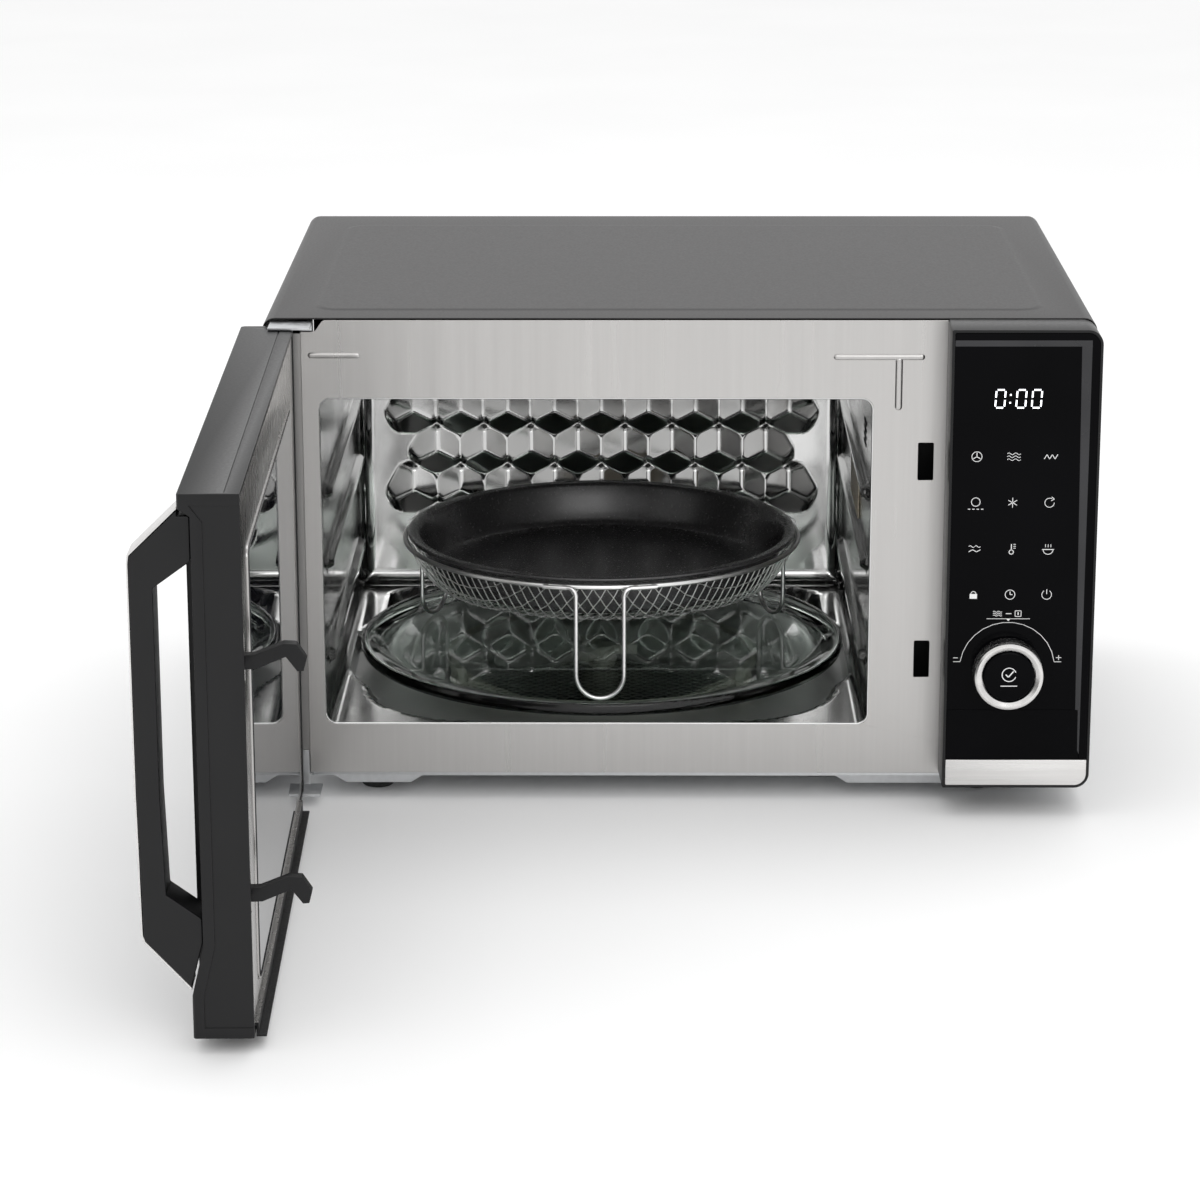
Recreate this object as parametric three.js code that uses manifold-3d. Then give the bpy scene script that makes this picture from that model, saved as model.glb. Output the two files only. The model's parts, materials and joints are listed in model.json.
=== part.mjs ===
// A countertop microwave oven with grill and hot air, door open: cabinet, cavity, door with sprung
// latch hooks, control panel with a push-and-turn dial, turntable drive, and the basket and pan that
// stand on the glass. Millimetres, +Z up, +X to the oven's right, +Y to its back.
// Working frame: X = 0 at the cabinet's middle, Y = 0 on the front plate, Z = 0 on the table.
import * as THREE from "three";
import { mergeVertices } from "three/addons/utils/BufferGeometryUtils.js";
import Module from "manifold-3d";

const wasm = await Module();
wasm.setup();

// ---------------------------------------------------------------- driving dimensions
const GAP = 0.3; // clearance between pieces that touch
const SHEET = 1; // sheet metal
const HALF_WIDTH = 250;
const DEPTH = 346;
const TOP = 303;
const COVER_RADIUS = 8;
const EMBOSS = 0.6; // raised field on the cover's top
const COVER_BOTTOM = 16;
const BACK_FACE = DEPTH - 0.5;

const FIELD = { halfWidth: 222, front: 22, back: 312, radius: 14 }; // the raised field on the top
const SIDE_VENTS = { count: 9, first: 236, pitch: 9, width: 4, bottom: 60, top: 110 };
const FLOOR_SHEET = 14.5;
const GLAND = { x: 206, z: 52, flange: 11, tube: 8, bore: 4 };

const PLATE = { left: -227, right: 246, bottom: 17, top: TOP - SHEET - GAP };
const HINGE_NOTCH = { left: -219.4, right: -212.4, drop: 7 }; // clears the upper hinge
const MOUTH = { left: -217, right: 117, bottom: 48.3, top: 254.1, radius: 7 };
const SLOT = { left: 144.5, right: 153.8, bottom: 78.9, height: 23.2, pitch: 124.4 };

const CAVITY = { left: -217, right: 117, front: 1.3, back: 330, floor: 47, ceiling: 255, radius: 8 };
const WELL = { left: -198, right: 102, front: 14, back: 316, floor: 37, radius: 12 };
const CELL = { pitch: 32.5, across: 9, rows: 6, height: 8, radius: 17.5, middle: -49.7, low: 87 };
const RIB = { heights: [78, 138, 183], front: 52, back: 312, height: 6, depth: 2.6 };
const MICA = { front: 118, back: 202, bottom: 147.5, top: 173.5, margin: 3 };
const LAMP = { y: 73, z: 216, window: 10 };
const ANTENNA = { y: 160, z: 167 };

const SPIN = { x: -48, y: 162.5 }; // axis of the turntable, the fan above it and what stands on it
const GLASS = { radius: 157.5, flat: 134.7, under: 49.3, top: 53.3, rim: 59.3 };
const ROLLER = { radius: 5.8, centre: 43, ring: 98.5, inner: 101.8, outer: 108.4, pin: 1.6 };
const BASKET = { rim: 126, rimRadius: 127.5, floor: 98.5, wire: 1.7 };
const LEG = { wire: 1.4, spread: 14.9, radius: 131, arm: 21 };
const PAN = { rim: 131.4, radius: 126.4, floor: 102.5 };

const CEILING_COVER = { radius: 148, drop: 7.7 };
const HOT_AIR = { housing: 116, top: 284, fan: 52, motor: 24 };

const PANEL = { left: 160.8, right: 250, front: -32.4, back: -0.4, bottom: 18.4, top: 302.5, radius: 9 };
const STRIP = { bottom: 20.1, top: 36.4 };
const DIAL = { x: 198.4, z: 93, radius: 21, button: 15.8, face: -47 };
const DISPLAY = { x: 201.5, z: 261.2, width: 39, height: 21.5 };

const HINGE = { x: -239.5, y: -10.5, pin: 2.6 };
const OPEN_ANGLE = 88.84; // degrees that the door stands open
const DOOR = { left: -248.6, right: 159.3, front: -32.8, back: -1.4, bottom: 8.7, top: 298.5 };
const DOOR_GLASS = { left: -246.3, right: 116, bottom: 12.3, top: 295.2, thickness: 3 };
const WINDOW = { left: -196, right: 114, bottom: 29, top: 255 };
const TROUGH = { left: 119, floor: -26.4, low: [31.9, 59.3], high: [286.8, 291] };
const RECESS = { depth: 0.9, rim: 6, bottom: 14.5, top: 284 }; // sunk field of the door's end face
const GRIP = { left: 134, right: 157, trim: 1 };

const FOOT = { radius: 10.75, height: 9.7, x: 187.2, front: 30, back: 312 };

// ---------------------------------------------------------------- shapes
const RIGHT_ANGLE = Math.PI / 2;

/** A closed outline through [u, v] points. */
function polygon(points) {
  return new THREE.Shape(points.map(([u, v]) => new THREE.Vector2(u, v)));
}

/** A rectangle with one corner radius, or four: low left, low right, high right, high left. */
function roundRect(u0, u1, v0, v1, radius) {
  const [a, b, c, d] = Array.isArray(radius) ? radius : [radius, radius, radius, radius];
  const shape = new THREE.Shape();
  shape.absarc(u0 + a, v0 + a, a, Math.PI, 1.5 * Math.PI);
  shape.absarc(u1 - b, v0 + b, b, 1.5 * Math.PI, 2 * Math.PI);
  shape.absarc(u1 - c, v1 - c, c, 0, RIGHT_ANGLE);
  shape.absarc(u0 + d, v1 - d, d, RIGHT_ANGLE, Math.PI);
  shape.closePath();
  return shape;
}

/** Extrudes a shape drawn in X and Y between two heights. */
function alongZ(shape, z0, z1, curveSegments = 4) {
  const settings = { depth: z1 - z0, bevelEnabled: false, curveSegments };
  return new THREE.ExtrudeGeometry(shape, settings).translate(0, 0, z0);
}

/** Extrudes a shape drawn in X and Z between two depths. */
function alongY(shape, y0, y1, curveSegments = 4) {
  return alongZ(shape, -y1, -y0, curveSegments).rotateX(RIGHT_ANGLE);
}

/** Extrudes a shape drawn in Y and Z between two X values. */
function alongX(shape, x0, x1, curveSegments = 4) {
  const turn = new THREE.Matrix4().makeBasis(
    new THREE.Vector3(0, 1, 0),
    new THREE.Vector3(0, 0, 1),
    new THREE.Vector3(1, 0, 0),
  );
  return alongZ(shape, x0, x1, curveSegments).applyMatrix4(turn);
}

/** A block between two values on each axis. */
function box(x0, x1, y0, y1, z0, z1) {
  const made = new THREE.BoxGeometry(x1 - x0, y1 - y0, z1 - z0);
  return made.translate((x0 + x1) / 2, (y0 + y1) / 2, (z0 + z1) / 2);
}

/** A cylinder along one axis, from one end to the other, its axis through two centre values. */
function rod(axis, radius, from, to, c1, c2, sides = 16) {
  const made = new THREE.CylinderGeometry(radius, radius, to - from, sides).translate(0, (from + to) / 2, 0);
  if (axis === "x") return made.rotateZ(-RIGHT_ANGLE).translate(0, c1, c2);
  if (axis === "y") return made.translate(c1, 0, c2);
  return made.rotateX(RIGHT_ANGLE).translate(c1, c2, 0);
}

/** Turns a closed [radius, height] outline round the vertical axis at x, y. */
function turned(points, x, y, sides = 36) {
  const outline = points.map(([r, z]) => new THREE.Vector2(r, z));
  return new THREE.LatheGeometry([...outline, outline[0]], sides).rotateX(RIGHT_ANGLE).translate(x, y, 0);
}

/** Sweeps a round wire along a curve. */
function wire(curve, radius, steps, sides = 6) {
  const section = new THREE.Shape();
  for (let i = 0; i < sides; i++) {
    const angle = (2 * Math.PI * i) / sides;
    const at = [radius * Math.cos(angle), radius * Math.sin(angle)];
    if (i) section.lineTo(...at);
    else section.moveTo(...at);
  }
  section.closePath();
  return new THREE.ExtrudeGeometry(section, { steps, extrudePath: curve, curveSegments: 1 });
}

/** The same polyline moved sideways by a distance, its corners mitred. */
function offset(points, distance) {
  const normal = ([u0, v0], [u1, v1]) => {
    const length = Math.hypot(u1 - u0, v1 - v0);
    return [(v1 - v0) / length, (u0 - u1) / length];
  };
  return points.map((point, i) => {
    const before = normal(points[Math.max(i - 1, 0)], points[Math.max(i, 1)]);
    const last = points.length - 1;
    const after = normal(points[Math.min(i, last - 1)], points[Math.min(i + 1, last)]);
    const scale = distance / (1 + before[0] * after[0] + before[1] * after[1]);
    return [point[0] + (before[0] + after[0]) * scale, point[1] + (before[1] + after[1]) * scale];
  });
}

// ---------------------------------------------------------------- solids
/** A closed geometry as a manifold solid, its faces turned outwards. */
function solid(geometry) {
  const bare = geometry.index ? geometry.toNonIndexed() : geometry.clone();
  bare.deleteAttribute("normal");
  bare.deleteAttribute("uv");
  const merged = mergeVertices(bare, 1e-3);
  const index = merged.index.array;
  const faces = [];
  for (let i = 0; i < index.length; i += 3) {
    const [a, b, c] = [index[i], index[i + 1], index[i + 2]];
    if (a !== b && b !== c && a !== c) faces.push(a, b, c);
  }
  const vertProperties = merged.attributes.position.array;
  const make = (corners) => {
    const triVerts = new Uint32Array(corners);
    return new wasm.Manifold(new wasm.Mesh({ numProp: 3, vertProperties, triVerts }));
  };
  const made = make(faces);
  if (made.volume() >= 0) return made;
  return make(faces.reverse());
}

const asSolid = (item) => (item.isBufferGeometry ? solid(item) : item);
const join = (first, ...others) => others.reduce((sum, item) => sum.add(asSolid(item)), asSolid(first));
const cut = (first, ...others) => others.reduce((rest, item) => rest.subtract(asSolid(item)), asSolid(first));

function geometryOf(made) {
  const mesh = made.getMesh();
  return new THREE.BufferGeometry()
    .setAttribute("position", new THREE.BufferAttribute(mesh.vertProperties, 3))
    .setIndex(new THREE.BufferAttribute(mesh.triVerts, 1));
}

const FINISH = {
  coat: { color: 0x3a393a, roughness: 0.55, metalness: 0.3 },
  steel: { color: 0xb4b2af, roughness: 0.35, metalness: 1 },
  polished: { color: 0xc9c9c8, roughness: 0.12, metalness: 1 },
  zinc: { color: 0x9fa3a6, roughness: 0.45, metalness: 1 },
  black: { color: 0x18181a, roughness: 0.4, metalness: 0 },
  gloss: { color: 0x07070a, roughness: 0.05, metalness: 0 },
  silver: { color: 0xc8c6c4, roughness: 0.3, metalness: 1 },
  glass: { color: 0xcfe0d8, roughness: 0.02, metalness: 0 },
  enamel: { color: 0x0d0d0f, roughness: 0.3, metalness: 0 },
  rubber: { color: 0x1b1b1b, roughness: 0.85, metalness: 0 },
  nylon: { color: 0xdedbd2, roughness: 0.5, metalness: 0 },
  copper: { color: 0xa9562a, roughness: 0.4, metalness: 1 },
  board: { color: 0x1f5a34, roughness: 0.6, metalness: 0 },
  mica: { color: 0xb9a98a, roughness: 0.7, metalness: 0 },
};
const material = Object.fromEntries(
  Object.entries(FINISH).map(([name, look]) => [name, new THREE.MeshStandardMaterial(look)]),
);

const oven = new THREE.Group();
const door = new THREE.Group();

/** Adds one piece to a group; pieces of the door are drawn closed and move to its hinge. */
function piece(group, name, finish, item) {
  const mesh = new THREE.Mesh(geometryOf(asSolid(item)), material[finish]);
  if (group === door) mesh.geometry.translate(-HINGE.x, -HINGE.y, 0);
  mesh.geometry.computeVertexNormals();
  mesh.name = name;
  group.add(mesh);
}

// ---------------------------------------------------------------- cabinet
/** The wrapped sheet of both sides and the top, open at the front, the back and below. */
function outerCover() {
  const section = (inset, bottom) => {
    const corner = COVER_RADIUS - inset;
    const corners = [0.01, 0.01, corner, corner];
    return roundRect(inset - HALF_WIDTH, HALF_WIDTH - inset, bottom, TOP - inset, corners);
  };
  const outer = section(0, COVER_BOTTOM);
  const inside = section(SHEET, COVER_BOTTOM - 2);
  const field = roundRect(-FIELD.halfWidth, FIELD.halfWidth, FIELD.front, FIELD.back, FIELD.radius);
  const emboss = alongZ(field, TOP - 0.5, TOP + EMBOSS);
  const hingeRelief = box(-HALF_WIDTH - 1, PLATE.left + 1, 0, 4.6, 10, DOOR.top + 0.7);
  const vents = [];
  for (let i = 0; i < SIDE_VENTS.count; i++) {
    const y = SIDE_VENTS.first + SIDE_VENTS.pitch * i;
    const { width, bottom, top } = SIDE_VENTS;
    vents.push(box(HALF_WIDTH - 3, HALF_WIDTH + 1, y, y + width, bottom, top));
  }
  const shell = cut(alongY(outer, 0.6, DEPTH), alongY(inside, 0, DEPTH + 1), hingeRelief, ...vents);
  return join(shell, emboss);
}

/** The flat front sheet round the cavity's mouth, folded back at its left and top edges. */
function frontPlate() {
  const { left, right, bottom, top } = PLATE;
  const lowered = top - HINGE_NOTCH.drop;
  const sheet = polygon([
    [left, bottom],
    [right, bottom],
    [right, top - COVER_RADIUS],
    [right - COVER_RADIUS, top],
    [HINGE_NOTCH.right, top],
    [HINGE_NOTCH.left, lowered],
    [left, lowered],
  ]);
  const mouth = roundRect(MOUTH.left, MOUTH.right, MOUTH.bottom, MOUTH.top, MOUTH.radius);
  const slots = [0, SLOT.pitch].map((lift) =>
    box(SLOT.left, SLOT.right, -1, 3, SLOT.bottom + lift, SLOT.bottom + lift + SLOT.height),
  );
  const controlPort = box(170, 236, -1, 3, 60, 250);
  const face = cut(alongY(sheet, 0, SHEET), alongY(mouth, -1, 3), controlPort, ...slots);
  const foldedEdge = box(left, left + SHEET, 0, 6, bottom, lowered);
  const flange = box(1.5 - HALF_WIDTH, left + SHEET, 5, 6, bottom, lowered - 2);
  const topFold = box(HINGE_NOTCH.right, right - COVER_RADIUS, 0, 12, top - SHEET, top);
  return join(face, foldedEdge, flange, topFold);
}

/** The floor pan: a sheet with turned-up edges and a pressed pad over each foot. */
function basePan() {
  const floor = FLOOR_SHEET;
  const edge = HALF_WIDTH - 1.5;
  const rear = BACK_FACE - SHEET - GAP;
  const drop = floor - FOOT.height - GAP;
  const slope = 8;
  const pad = (x0, x1, y0, y1) => {
    const outline = polygon([
      [x0, floor + 0.5],
      [x0 + slope, floor - drop],
      [x1 - slope, floor - drop],
      [x1, floor + 0.5],
    ]);
    return alongY(outline, y0, y1);
  };
  const front = SHEET + GAP;
  const hingeNotch = box(-edge - 1, PLATE.left + 1, 0, 5.2, 10, 20);
  return join(
    cut(box(-edge, edge, front, rear, floor, floor + SHEET), hingeNotch),
    box(PLATE.left + 1.5, edge - 1, front, front + SHEET, floor, floor + 10),
    box(-edge, -edge + SHEET, 8, rear, floor, floor + 16),
    box(edge - SHEET, edge, 8, rear, floor, floor + 16),
    pad(-213, -157, front, 60),
    pad(97, 243, front, 60),
    pad(-213, -157, 285, 340),
    pad(157, 213, 285, 340),
  );
}

/** The rear sheet, slotted for the cooling fan and, at the top left, for the cavity's exhaust. */
function backPanel() {
  const edge = HALF_WIDTH - 1.5;
  const corners = [1, 1, COVER_RADIUS, COVER_RADIUS];
  const outline = roundRect(-edge, edge, COVER_BOTTOM + 0.5, TOP - 1.5, corners);
  const [before, behind] = [BACK_FACE - 5, BACK_FACE + 5];
  const slots = [];
  for (let row = 0; row < 9; row++) {
    const low = 112 + 9 * row;
    slots.push(box(158, 232, before, behind, low, low + 4));
  }
  for (let row = 0; row < 4; row++) {
    const low = 262 + 8 * row;
    slots.push(box(-190, -90, before, behind, low, low + 3.5));
  }
  const hole = rod("y", GLAND.tube + GAP, before, behind, GLAND.x, GLAND.z);
  return cut(alongY(outline, BACK_FACE - SHEET, BACK_FACE), ...slots, hole);
}

/** The bush in the rear sheet that a cord would pass through. */
function cordGland() {
  const ring = (radius, from, to) => rod("y", radius, from, to, GLAND.x, GLAND.z);
  const flange = ring(GLAND.flange, BACK_FACE + GAP, BACK_FACE + 4);
  return cut(join(ring(GLAND.tube, 338, BACK_FACE + 3.5), flange), ring(GLAND.bore, 330, 360));
}

piece(oven, "outer_cover", "coat", outerCover());
piece(oven, "front_plate", "steel", frontPlate());
piece(oven, "base_pan", "zinc", basePan());
piece(oven, "back_panel", "zinc", backPanel());
piece(oven, "cord_gland", "black", cordGland());
for (const [end, y] of [["front", FOOT.front], ["rear", FOOT.back]]) {
  for (const [side, x] of [["left", -FOOT.x], ["right", FOOT.x]]) {
    piece(oven, `foot_${end}_${side}`, "rubber", rod("z", FOOT.radius, 0, FOOT.height, x, y, 20));
  }
}

// ---------------------------------------------------------------- cavity
/** The section of the cavity, or the plan of its sunk floor, moved outwards by a distance. */
function cavitySection(out) {
  const { left, right, floor, ceiling, radius } = CAVITY;
  return roundRect(left - out, right + out, floor - out, ceiling + out, radius + out);
}
function wellPlan(out) {
  return roundRect(WELL.left - out, WELL.right + out, WELL.front - out, WELL.back + out, WELL.radius + out);
}

/** Floor, sides and ceiling of the cavity, its floor sunk for the turntable. */
function cavityLiner() {
  const { left, right, front, back, floor, ceiling } = CAVITY;
  const outer = cavitySection(SHEET);
  const inner = cavitySection(0);
  const tube = cut(alongY(outer, front, back), alongY(inner, front - 1, back + 1));
  const well = alongZ(wellPlan(SHEET), WELL.floor - SHEET, floor);
  const ribs = RIB.heights.flatMap((z) => [
    box(left - 0.5, left + RIB.depth, RIB.front, RIB.back, z, z + RIB.height),
    box(right - RIB.depth, right + 0.5, RIB.front, RIB.back, z, z + RIB.height),
  ]);
  const { margin } = MICA;
  const feed = [MICA.front + margin, MICA.back - margin, MICA.bottom + margin, MICA.top - margin];
  const lampHole = [LAMP.y - 13, LAMP.y + 13, LAMP.z - LAMP.window, LAMP.z + LAMP.window];
  return cut(
    join(tube, well, ...ribs),
    alongZ(wellPlan(0), WELL.floor, floor + 2),
    rod("z", 7, WELL.floor - 4, WELL.floor + 4, SPIN.x, SPIN.y),
    rod("z", HOT_AIR.housing, ceiling - 2, ceiling + 4, SPIN.x, SPIN.y, 24),
    box(right - 4, right + 4, ...feed),
    box(right - 4, right + 4, ...lampHole),
  );
}

/** The rear wall, stamped with staggered pyramids that point into the cavity. */
function cavityBackWall() {
  const face = CAVITY.back + GAP;
  const plate = alongY(cavitySection(SHEET), face, face + SHEET);
  const cells = [];
  for (let row = 0; row < CELL.rows; row++) {
    const count = CELL.across - ((row + 1) % 2);
    for (let i = 0; i < count; i++) {
      const x = CELL.middle + (i - (count - 1) / 2) * CELL.pitch;
      const z = CELL.low + row * CELL.pitch * Math.cos(Math.PI / 6);
      const cone = new THREE.ConeGeometry(CELL.radius, CELL.height, 6).rotateX(Math.PI);
      cells.push(cone.translate(x, face + 0.2 - CELL.height / 2, z));
    }
  }
  return join(plate, ...cells);
}

piece(oven, "cavity_liner", "polished", cavityLiner());
piece(oven, "cavity_back_wall", "polished", cavityBackWall());
piece(
  oven,
  "waveguide_cover",
  "mica",
  alongX(
    roundRect(MICA.front, MICA.back, MICA.bottom, MICA.top, 4),
    CAVITY.right - 1.2,
    CAVITY.right - GAP,
  ),
);

/** The round perforated cover under the ceiling. */
function ceilingCover() {
  const top = CAVITY.ceiling - GAP;
  const low = CAVITY.ceiling - CEILING_COVER.drop;
  const { radius } = CEILING_COVER;
  const dish = turned(
    [
      [0, low],
      [radius - 12, low],
      [radius - 6, low + 2.5],
      [radius - 5, top - SHEET],
      [radius, top - SHEET],
      [radius, top],
      [radius - 6, top],
      [radius - 7, low + 3],
      [radius - 12.5, low + SHEET],
      [0, low + SHEET],
    ],
    SPIN.x,
    SPIN.y,
  );
  const holes = [];
  for (let i = 0; i < 12; i++) {
    const slot = box(44, 100, -3, 3, low - 2, low + 4);
    holes.push(slot.rotateZ((i * Math.PI) / 6).translate(SPIN.x, SPIN.y, 0));
  }
  return cut(dish, ...holes);
}

piece(oven, "ceiling_cover", "polished", ceilingCover());

/** The dish over the ceiling that holds the fan wheel and the heater. */
function hotAirHousing() {
  const { housing, top } = HOT_AIR;
  const seat = CAVITY.ceiling + SHEET + GAP;
  const dish = turned(
    [
      [0, top],
      [housing - 2, top],
      [housing + 4, seat + SHEET + 1.7],
      [housing + 14, seat + SHEET],
      [housing + 14, seat],
      [housing + 3, seat],
      [housing - 3, top - SHEET],
      [0, top - SHEET],
    ],
    SPIN.x,
    SPIN.y,
    24,
  );
  return cut(dish, rod("z", 5, top - 5, top + 5, SPIN.x, SPIN.y, 12));
}
piece(oven, "hot_air_housing", "zinc", hotAirHousing());

/** The grill heater: nearly one turn of sheathed rod round the fan wheel. */
const HEATER = { radius: 92, z: 264, rod: 3.2, gap: 0.12 };
class HeaterLoop extends THREE.Curve {
  getPoint(t) {
    const angle = HEATER.gap + t * 2 * (Math.PI - HEATER.gap);
    const [x, y] = [HEATER.radius * Math.cos(angle), HEATER.radius * Math.sin(angle)];
    return new THREE.Vector3(SPIN.x + x, SPIN.y + y, HEATER.z);
  }
}
piece(oven, "heater_element", "zinc", wire(new HeaterLoop(), HEATER.rod, 24, 5));

/** A fan wheel of flat blades round a hub, made about the vertical axis at the origin. */
function fanWheel(radius, hub, bore, height, blades, pitch) {
  const parts = [];
  for (let i = 0; i < blades; i++) {
    const blade = box(hub - 1, radius, -0.7, 0.7, -height / 2, height / 2).rotateX(pitch);
    parts.push(blade.rotateZ((2 * Math.PI * i) / blades));
  }
  const wheel = join(rod("z", hub, -height / 2, height / 2, 0, 0, 16), ...parts);
  return cut(wheel, rod("z", bore, -height, height, 0, 0, 10));
}

const hotFan = fanWheel(HOT_AIR.fan, 9, 2.6, 14, 8, 0.15);
piece(oven, "hot_air_fan", "zinc", hotFan.translate([SPIN.x, SPIN.y, 266]));
piece(
  oven,
  "hot_air_motor",
  "zinc",
  join(
    rod("z", HOT_AIR.motor, HOT_AIR.top + GAP, TOP - 4, SPIN.x, SPIN.y, 16),
    rod("z", 2.2, 260, HOT_AIR.top + 1, SPIN.x, SPIN.y, 10),
    box(SPIN.x - 40, SPIN.x + 40, SPIN.y - 7, SPIN.y + 7, HOT_AIR.top + GAP, HOT_AIR.top + 2),
  ),
);

// ---------------------------------------------------------------- turntable and what stands on it
piece(
  oven,
  "turntable_motor",
  "zinc",
  join(
    rod("z", 24, 20.5, WELL.floor - SHEET - GAP, SPIN.x, SPIN.y, 16),
    rod("z", 3.2, 30, 44, SPIN.x, SPIN.y, 10),
    box(SPIN.x - 34, SPIN.x + 34, SPIN.y - 6, SPIN.y + 6, 34, WELL.floor - SHEET - GAP),
  ),
);

/** Turns a geometry made round the origin to an angle and moves it to the turntable's axis. */
function aroundSpin(geometry, angle) {
  return geometry.rotateZ(angle).translate(SPIN.x, SPIN.y, 0);
}

/** The three-armed coupler that turns the glass plate. */
function driveCoupler() {
  const top = GLASS.under - 0.4;
  const lobes = [0, 1, 2].map((i) => aroundSpin(box(4, 23, -3.5, 3.5, 43.6, top), (2 * Math.PI * i) / 3));
  const hub = rod("z", 9, WELL.floor + 0.6, top, SPIN.x, SPIN.y, 20);
  return cut(join(hub, ...lobes), rod("z", 3.5, WELL.floor - 1, 45, SPIN.x, SPIN.y, 12));
}
piece(oven, "drive_coupler", "nylon", driveCoupler());

/** Three small wheels on pins round a ring carry the glass plate. */
const WHEEL_ANGLES = [90, 210, 330].map(THREE.MathUtils.degToRad);
piece(
  oven,
  "roller_ring",
  "nylon",
  join(
    turned(
      [
        [ROLLER.ring - 2.5, ROLLER.centre - 1.6],
        [ROLLER.ring + 2.5, ROLLER.centre - 1.6],
        [ROLLER.ring + 2.5, ROLLER.centre + 1.6],
        [ROLLER.ring - 2.5, ROLLER.centre + 1.6],
      ],
      SPIN.x,
      SPIN.y,
    ),
    ...WHEEL_ANGLES.map((angle) =>
      aroundSpin(rod("x", ROLLER.pin, ROLLER.ring, ROLLER.outer + 1.5, 0, ROLLER.centre, 10), angle),
    ),
  ),
);
WHEEL_ANGLES.forEach((angle, i) => {
  const disc = cut(
    rod("x", ROLLER.radius, ROLLER.inner, ROLLER.outer, 0, ROLLER.centre, 20),
    rod("x", ROLLER.pin + GAP, ROLLER.inner - 1, ROLLER.outer + 1, 0, ROLLER.centre, 10),
  );
  piece(oven, `roller_wheel_${i + 1}`, "nylon", aroundSpin(geometryOf(disc), angle));
});
piece(
  oven,
  "glass_turntable",
  "glass",
  turned(
    [
      [0, GLASS.under],
      [GLASS.flat - 1, GLASS.under],
      [GLASS.flat + 7, GLASS.under + 0.8],
      [GLASS.radius - 2, GLASS.under + 1.7],
      [GLASS.radius, GLASS.under + 3.4],
      [GLASS.radius, GLASS.rim - 0.8],
      [GLASS.radius - 1, GLASS.rim],
      [GLASS.radius - 3.2, GLASS.rim],
      [GLASS.flat + 8, GLASS.top + 1.4],
      [GLASS.flat, GLASS.top],
      [0, GLASS.top],
    ],
    SPIN.x,
    SPIN.y,
    40,
  ),
);

/** The mesh bowl as a thin closed shell with its rim wire. */
function fryBasket() {
  const { rim, rimRadius, floor, wire: thick } = BASKET;
  const shell = turned(
    [
      [0, floor],
      [107, floor],
      [117.5, floor + 5],
      [rimRadius + 0.4, rim],
      [rimRadius - 0.9, rim],
      [116.3, floor + 6],
      [106.5, floor + 1.2],
      [0, floor + 1.2],
    ],
    SPIN.x,
    SPIN.y,
  );
  const bead = [];
  for (let i = 0; i < 6; i++) {
    const angle = (Math.PI * i) / 3;
    bead.push([rimRadius + thick * Math.cos(angle), rim + thick * Math.sin(angle)]);
  }
  return join(shell, turned(bead, SPIN.x, SPIN.y));
}
piece(oven, "fry_basket", "polished", fryBasket());

/** One leg of the basket: a U of wire that hangs from the rim, its ends turned out along the rim. */
function basketLeg(angle) {
  const lowest = GLASS.top + GAP + LEG.wire;
  const turn = LEG.spread;
  const onRim = (side) => new THREE.Vector3(
    LEG.radius * Math.cos(side / LEG.radius),
    LEG.radius * Math.sin(side / LEG.radius),
    BASKET.rim,
  );
  const hanging = (side, z) => new THREE.Vector3(LEG.radius, side, z);
  const half = [
    onRim(turn + LEG.arm),
    onRim(turn + LEG.arm * 0.6),
    onRim(turn + 6),
    hanging(turn + 0.8, BASKET.rim - 2),
    hanging(turn, BASKET.rim - 8),
    hanging(turn, (BASKET.rim + lowest) / 2 + 6),
    hanging(turn, lowest + turn),
  ];
  for (const bend of [0.28, 0.56, 0.8]) {
    const [side, rise] = [Math.cos(bend * RIGHT_ANGLE), 1 - Math.sin(bend * RIGHT_ANGLE)];
    half.push(hanging(turn * side, lowest + turn * rise));
  }
  const mirrored = half.map((p) => p.clone().setY(-p.y)).reverse();
  const path = new THREE.CatmullRomCurve3([...half, hanging(0, lowest), ...mirrored]);
  return aroundSpin(wire(path, LEG.wire, 28), angle);
}
[270, 30, 150].forEach((degrees, i) => {
  piece(oven, `basket_leg_${i + 1}`, "polished", basketLeg(THREE.MathUtils.degToRad(degrees)));
});

piece(
  oven,
  "crisper_pan",
  "enamel",
  turned(
    [
      [0, PAN.floor],
      [104, PAN.floor],
      [111.5, PAN.floor + 3.5],
      [119, PAN.rim - 4],
      [121, PAN.rim - 2.6],
      [PAN.radius - 0.7, PAN.rim - 2.6],
      [PAN.radius, PAN.rim - 1.2],
      [PAN.radius - 0.8, PAN.rim],
      [120.2, PAN.rim],
      [117.4, PAN.rim - 3],
      [110.2, PAN.floor + 4.5],
      [103.5, PAN.floor + 1.3],
      [0, PAN.floor + 1.3],
    ],
    SPIN.x,
    SPIN.y,
    40,
  ),
);

// ---------------------------------------------------------------- electrical compartment
const GUIDE = { left: CAVITY.right + SHEET + 0.4, right: 150, front: 115, back: 205, bottom: 138, top: 196 };

/** The box that carries the magnetron's waves to the mica window; its side towards the cavity is open. */
function waveguide() {
  const { left, right, front, back, bottom, top } = GUIDE;
  const wall = 1.5;
  return cut(
    box(left, right, front, back, bottom, top),
    box(left - 1, right - wall, front + wall, back - wall, bottom + wall, top - wall),
    rod("x", 12, right - 4, right + 4, ANTENNA.y, ANTENNA.z),
  );
}
piece(oven, "waveguide", "zinc", waveguide());

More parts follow.
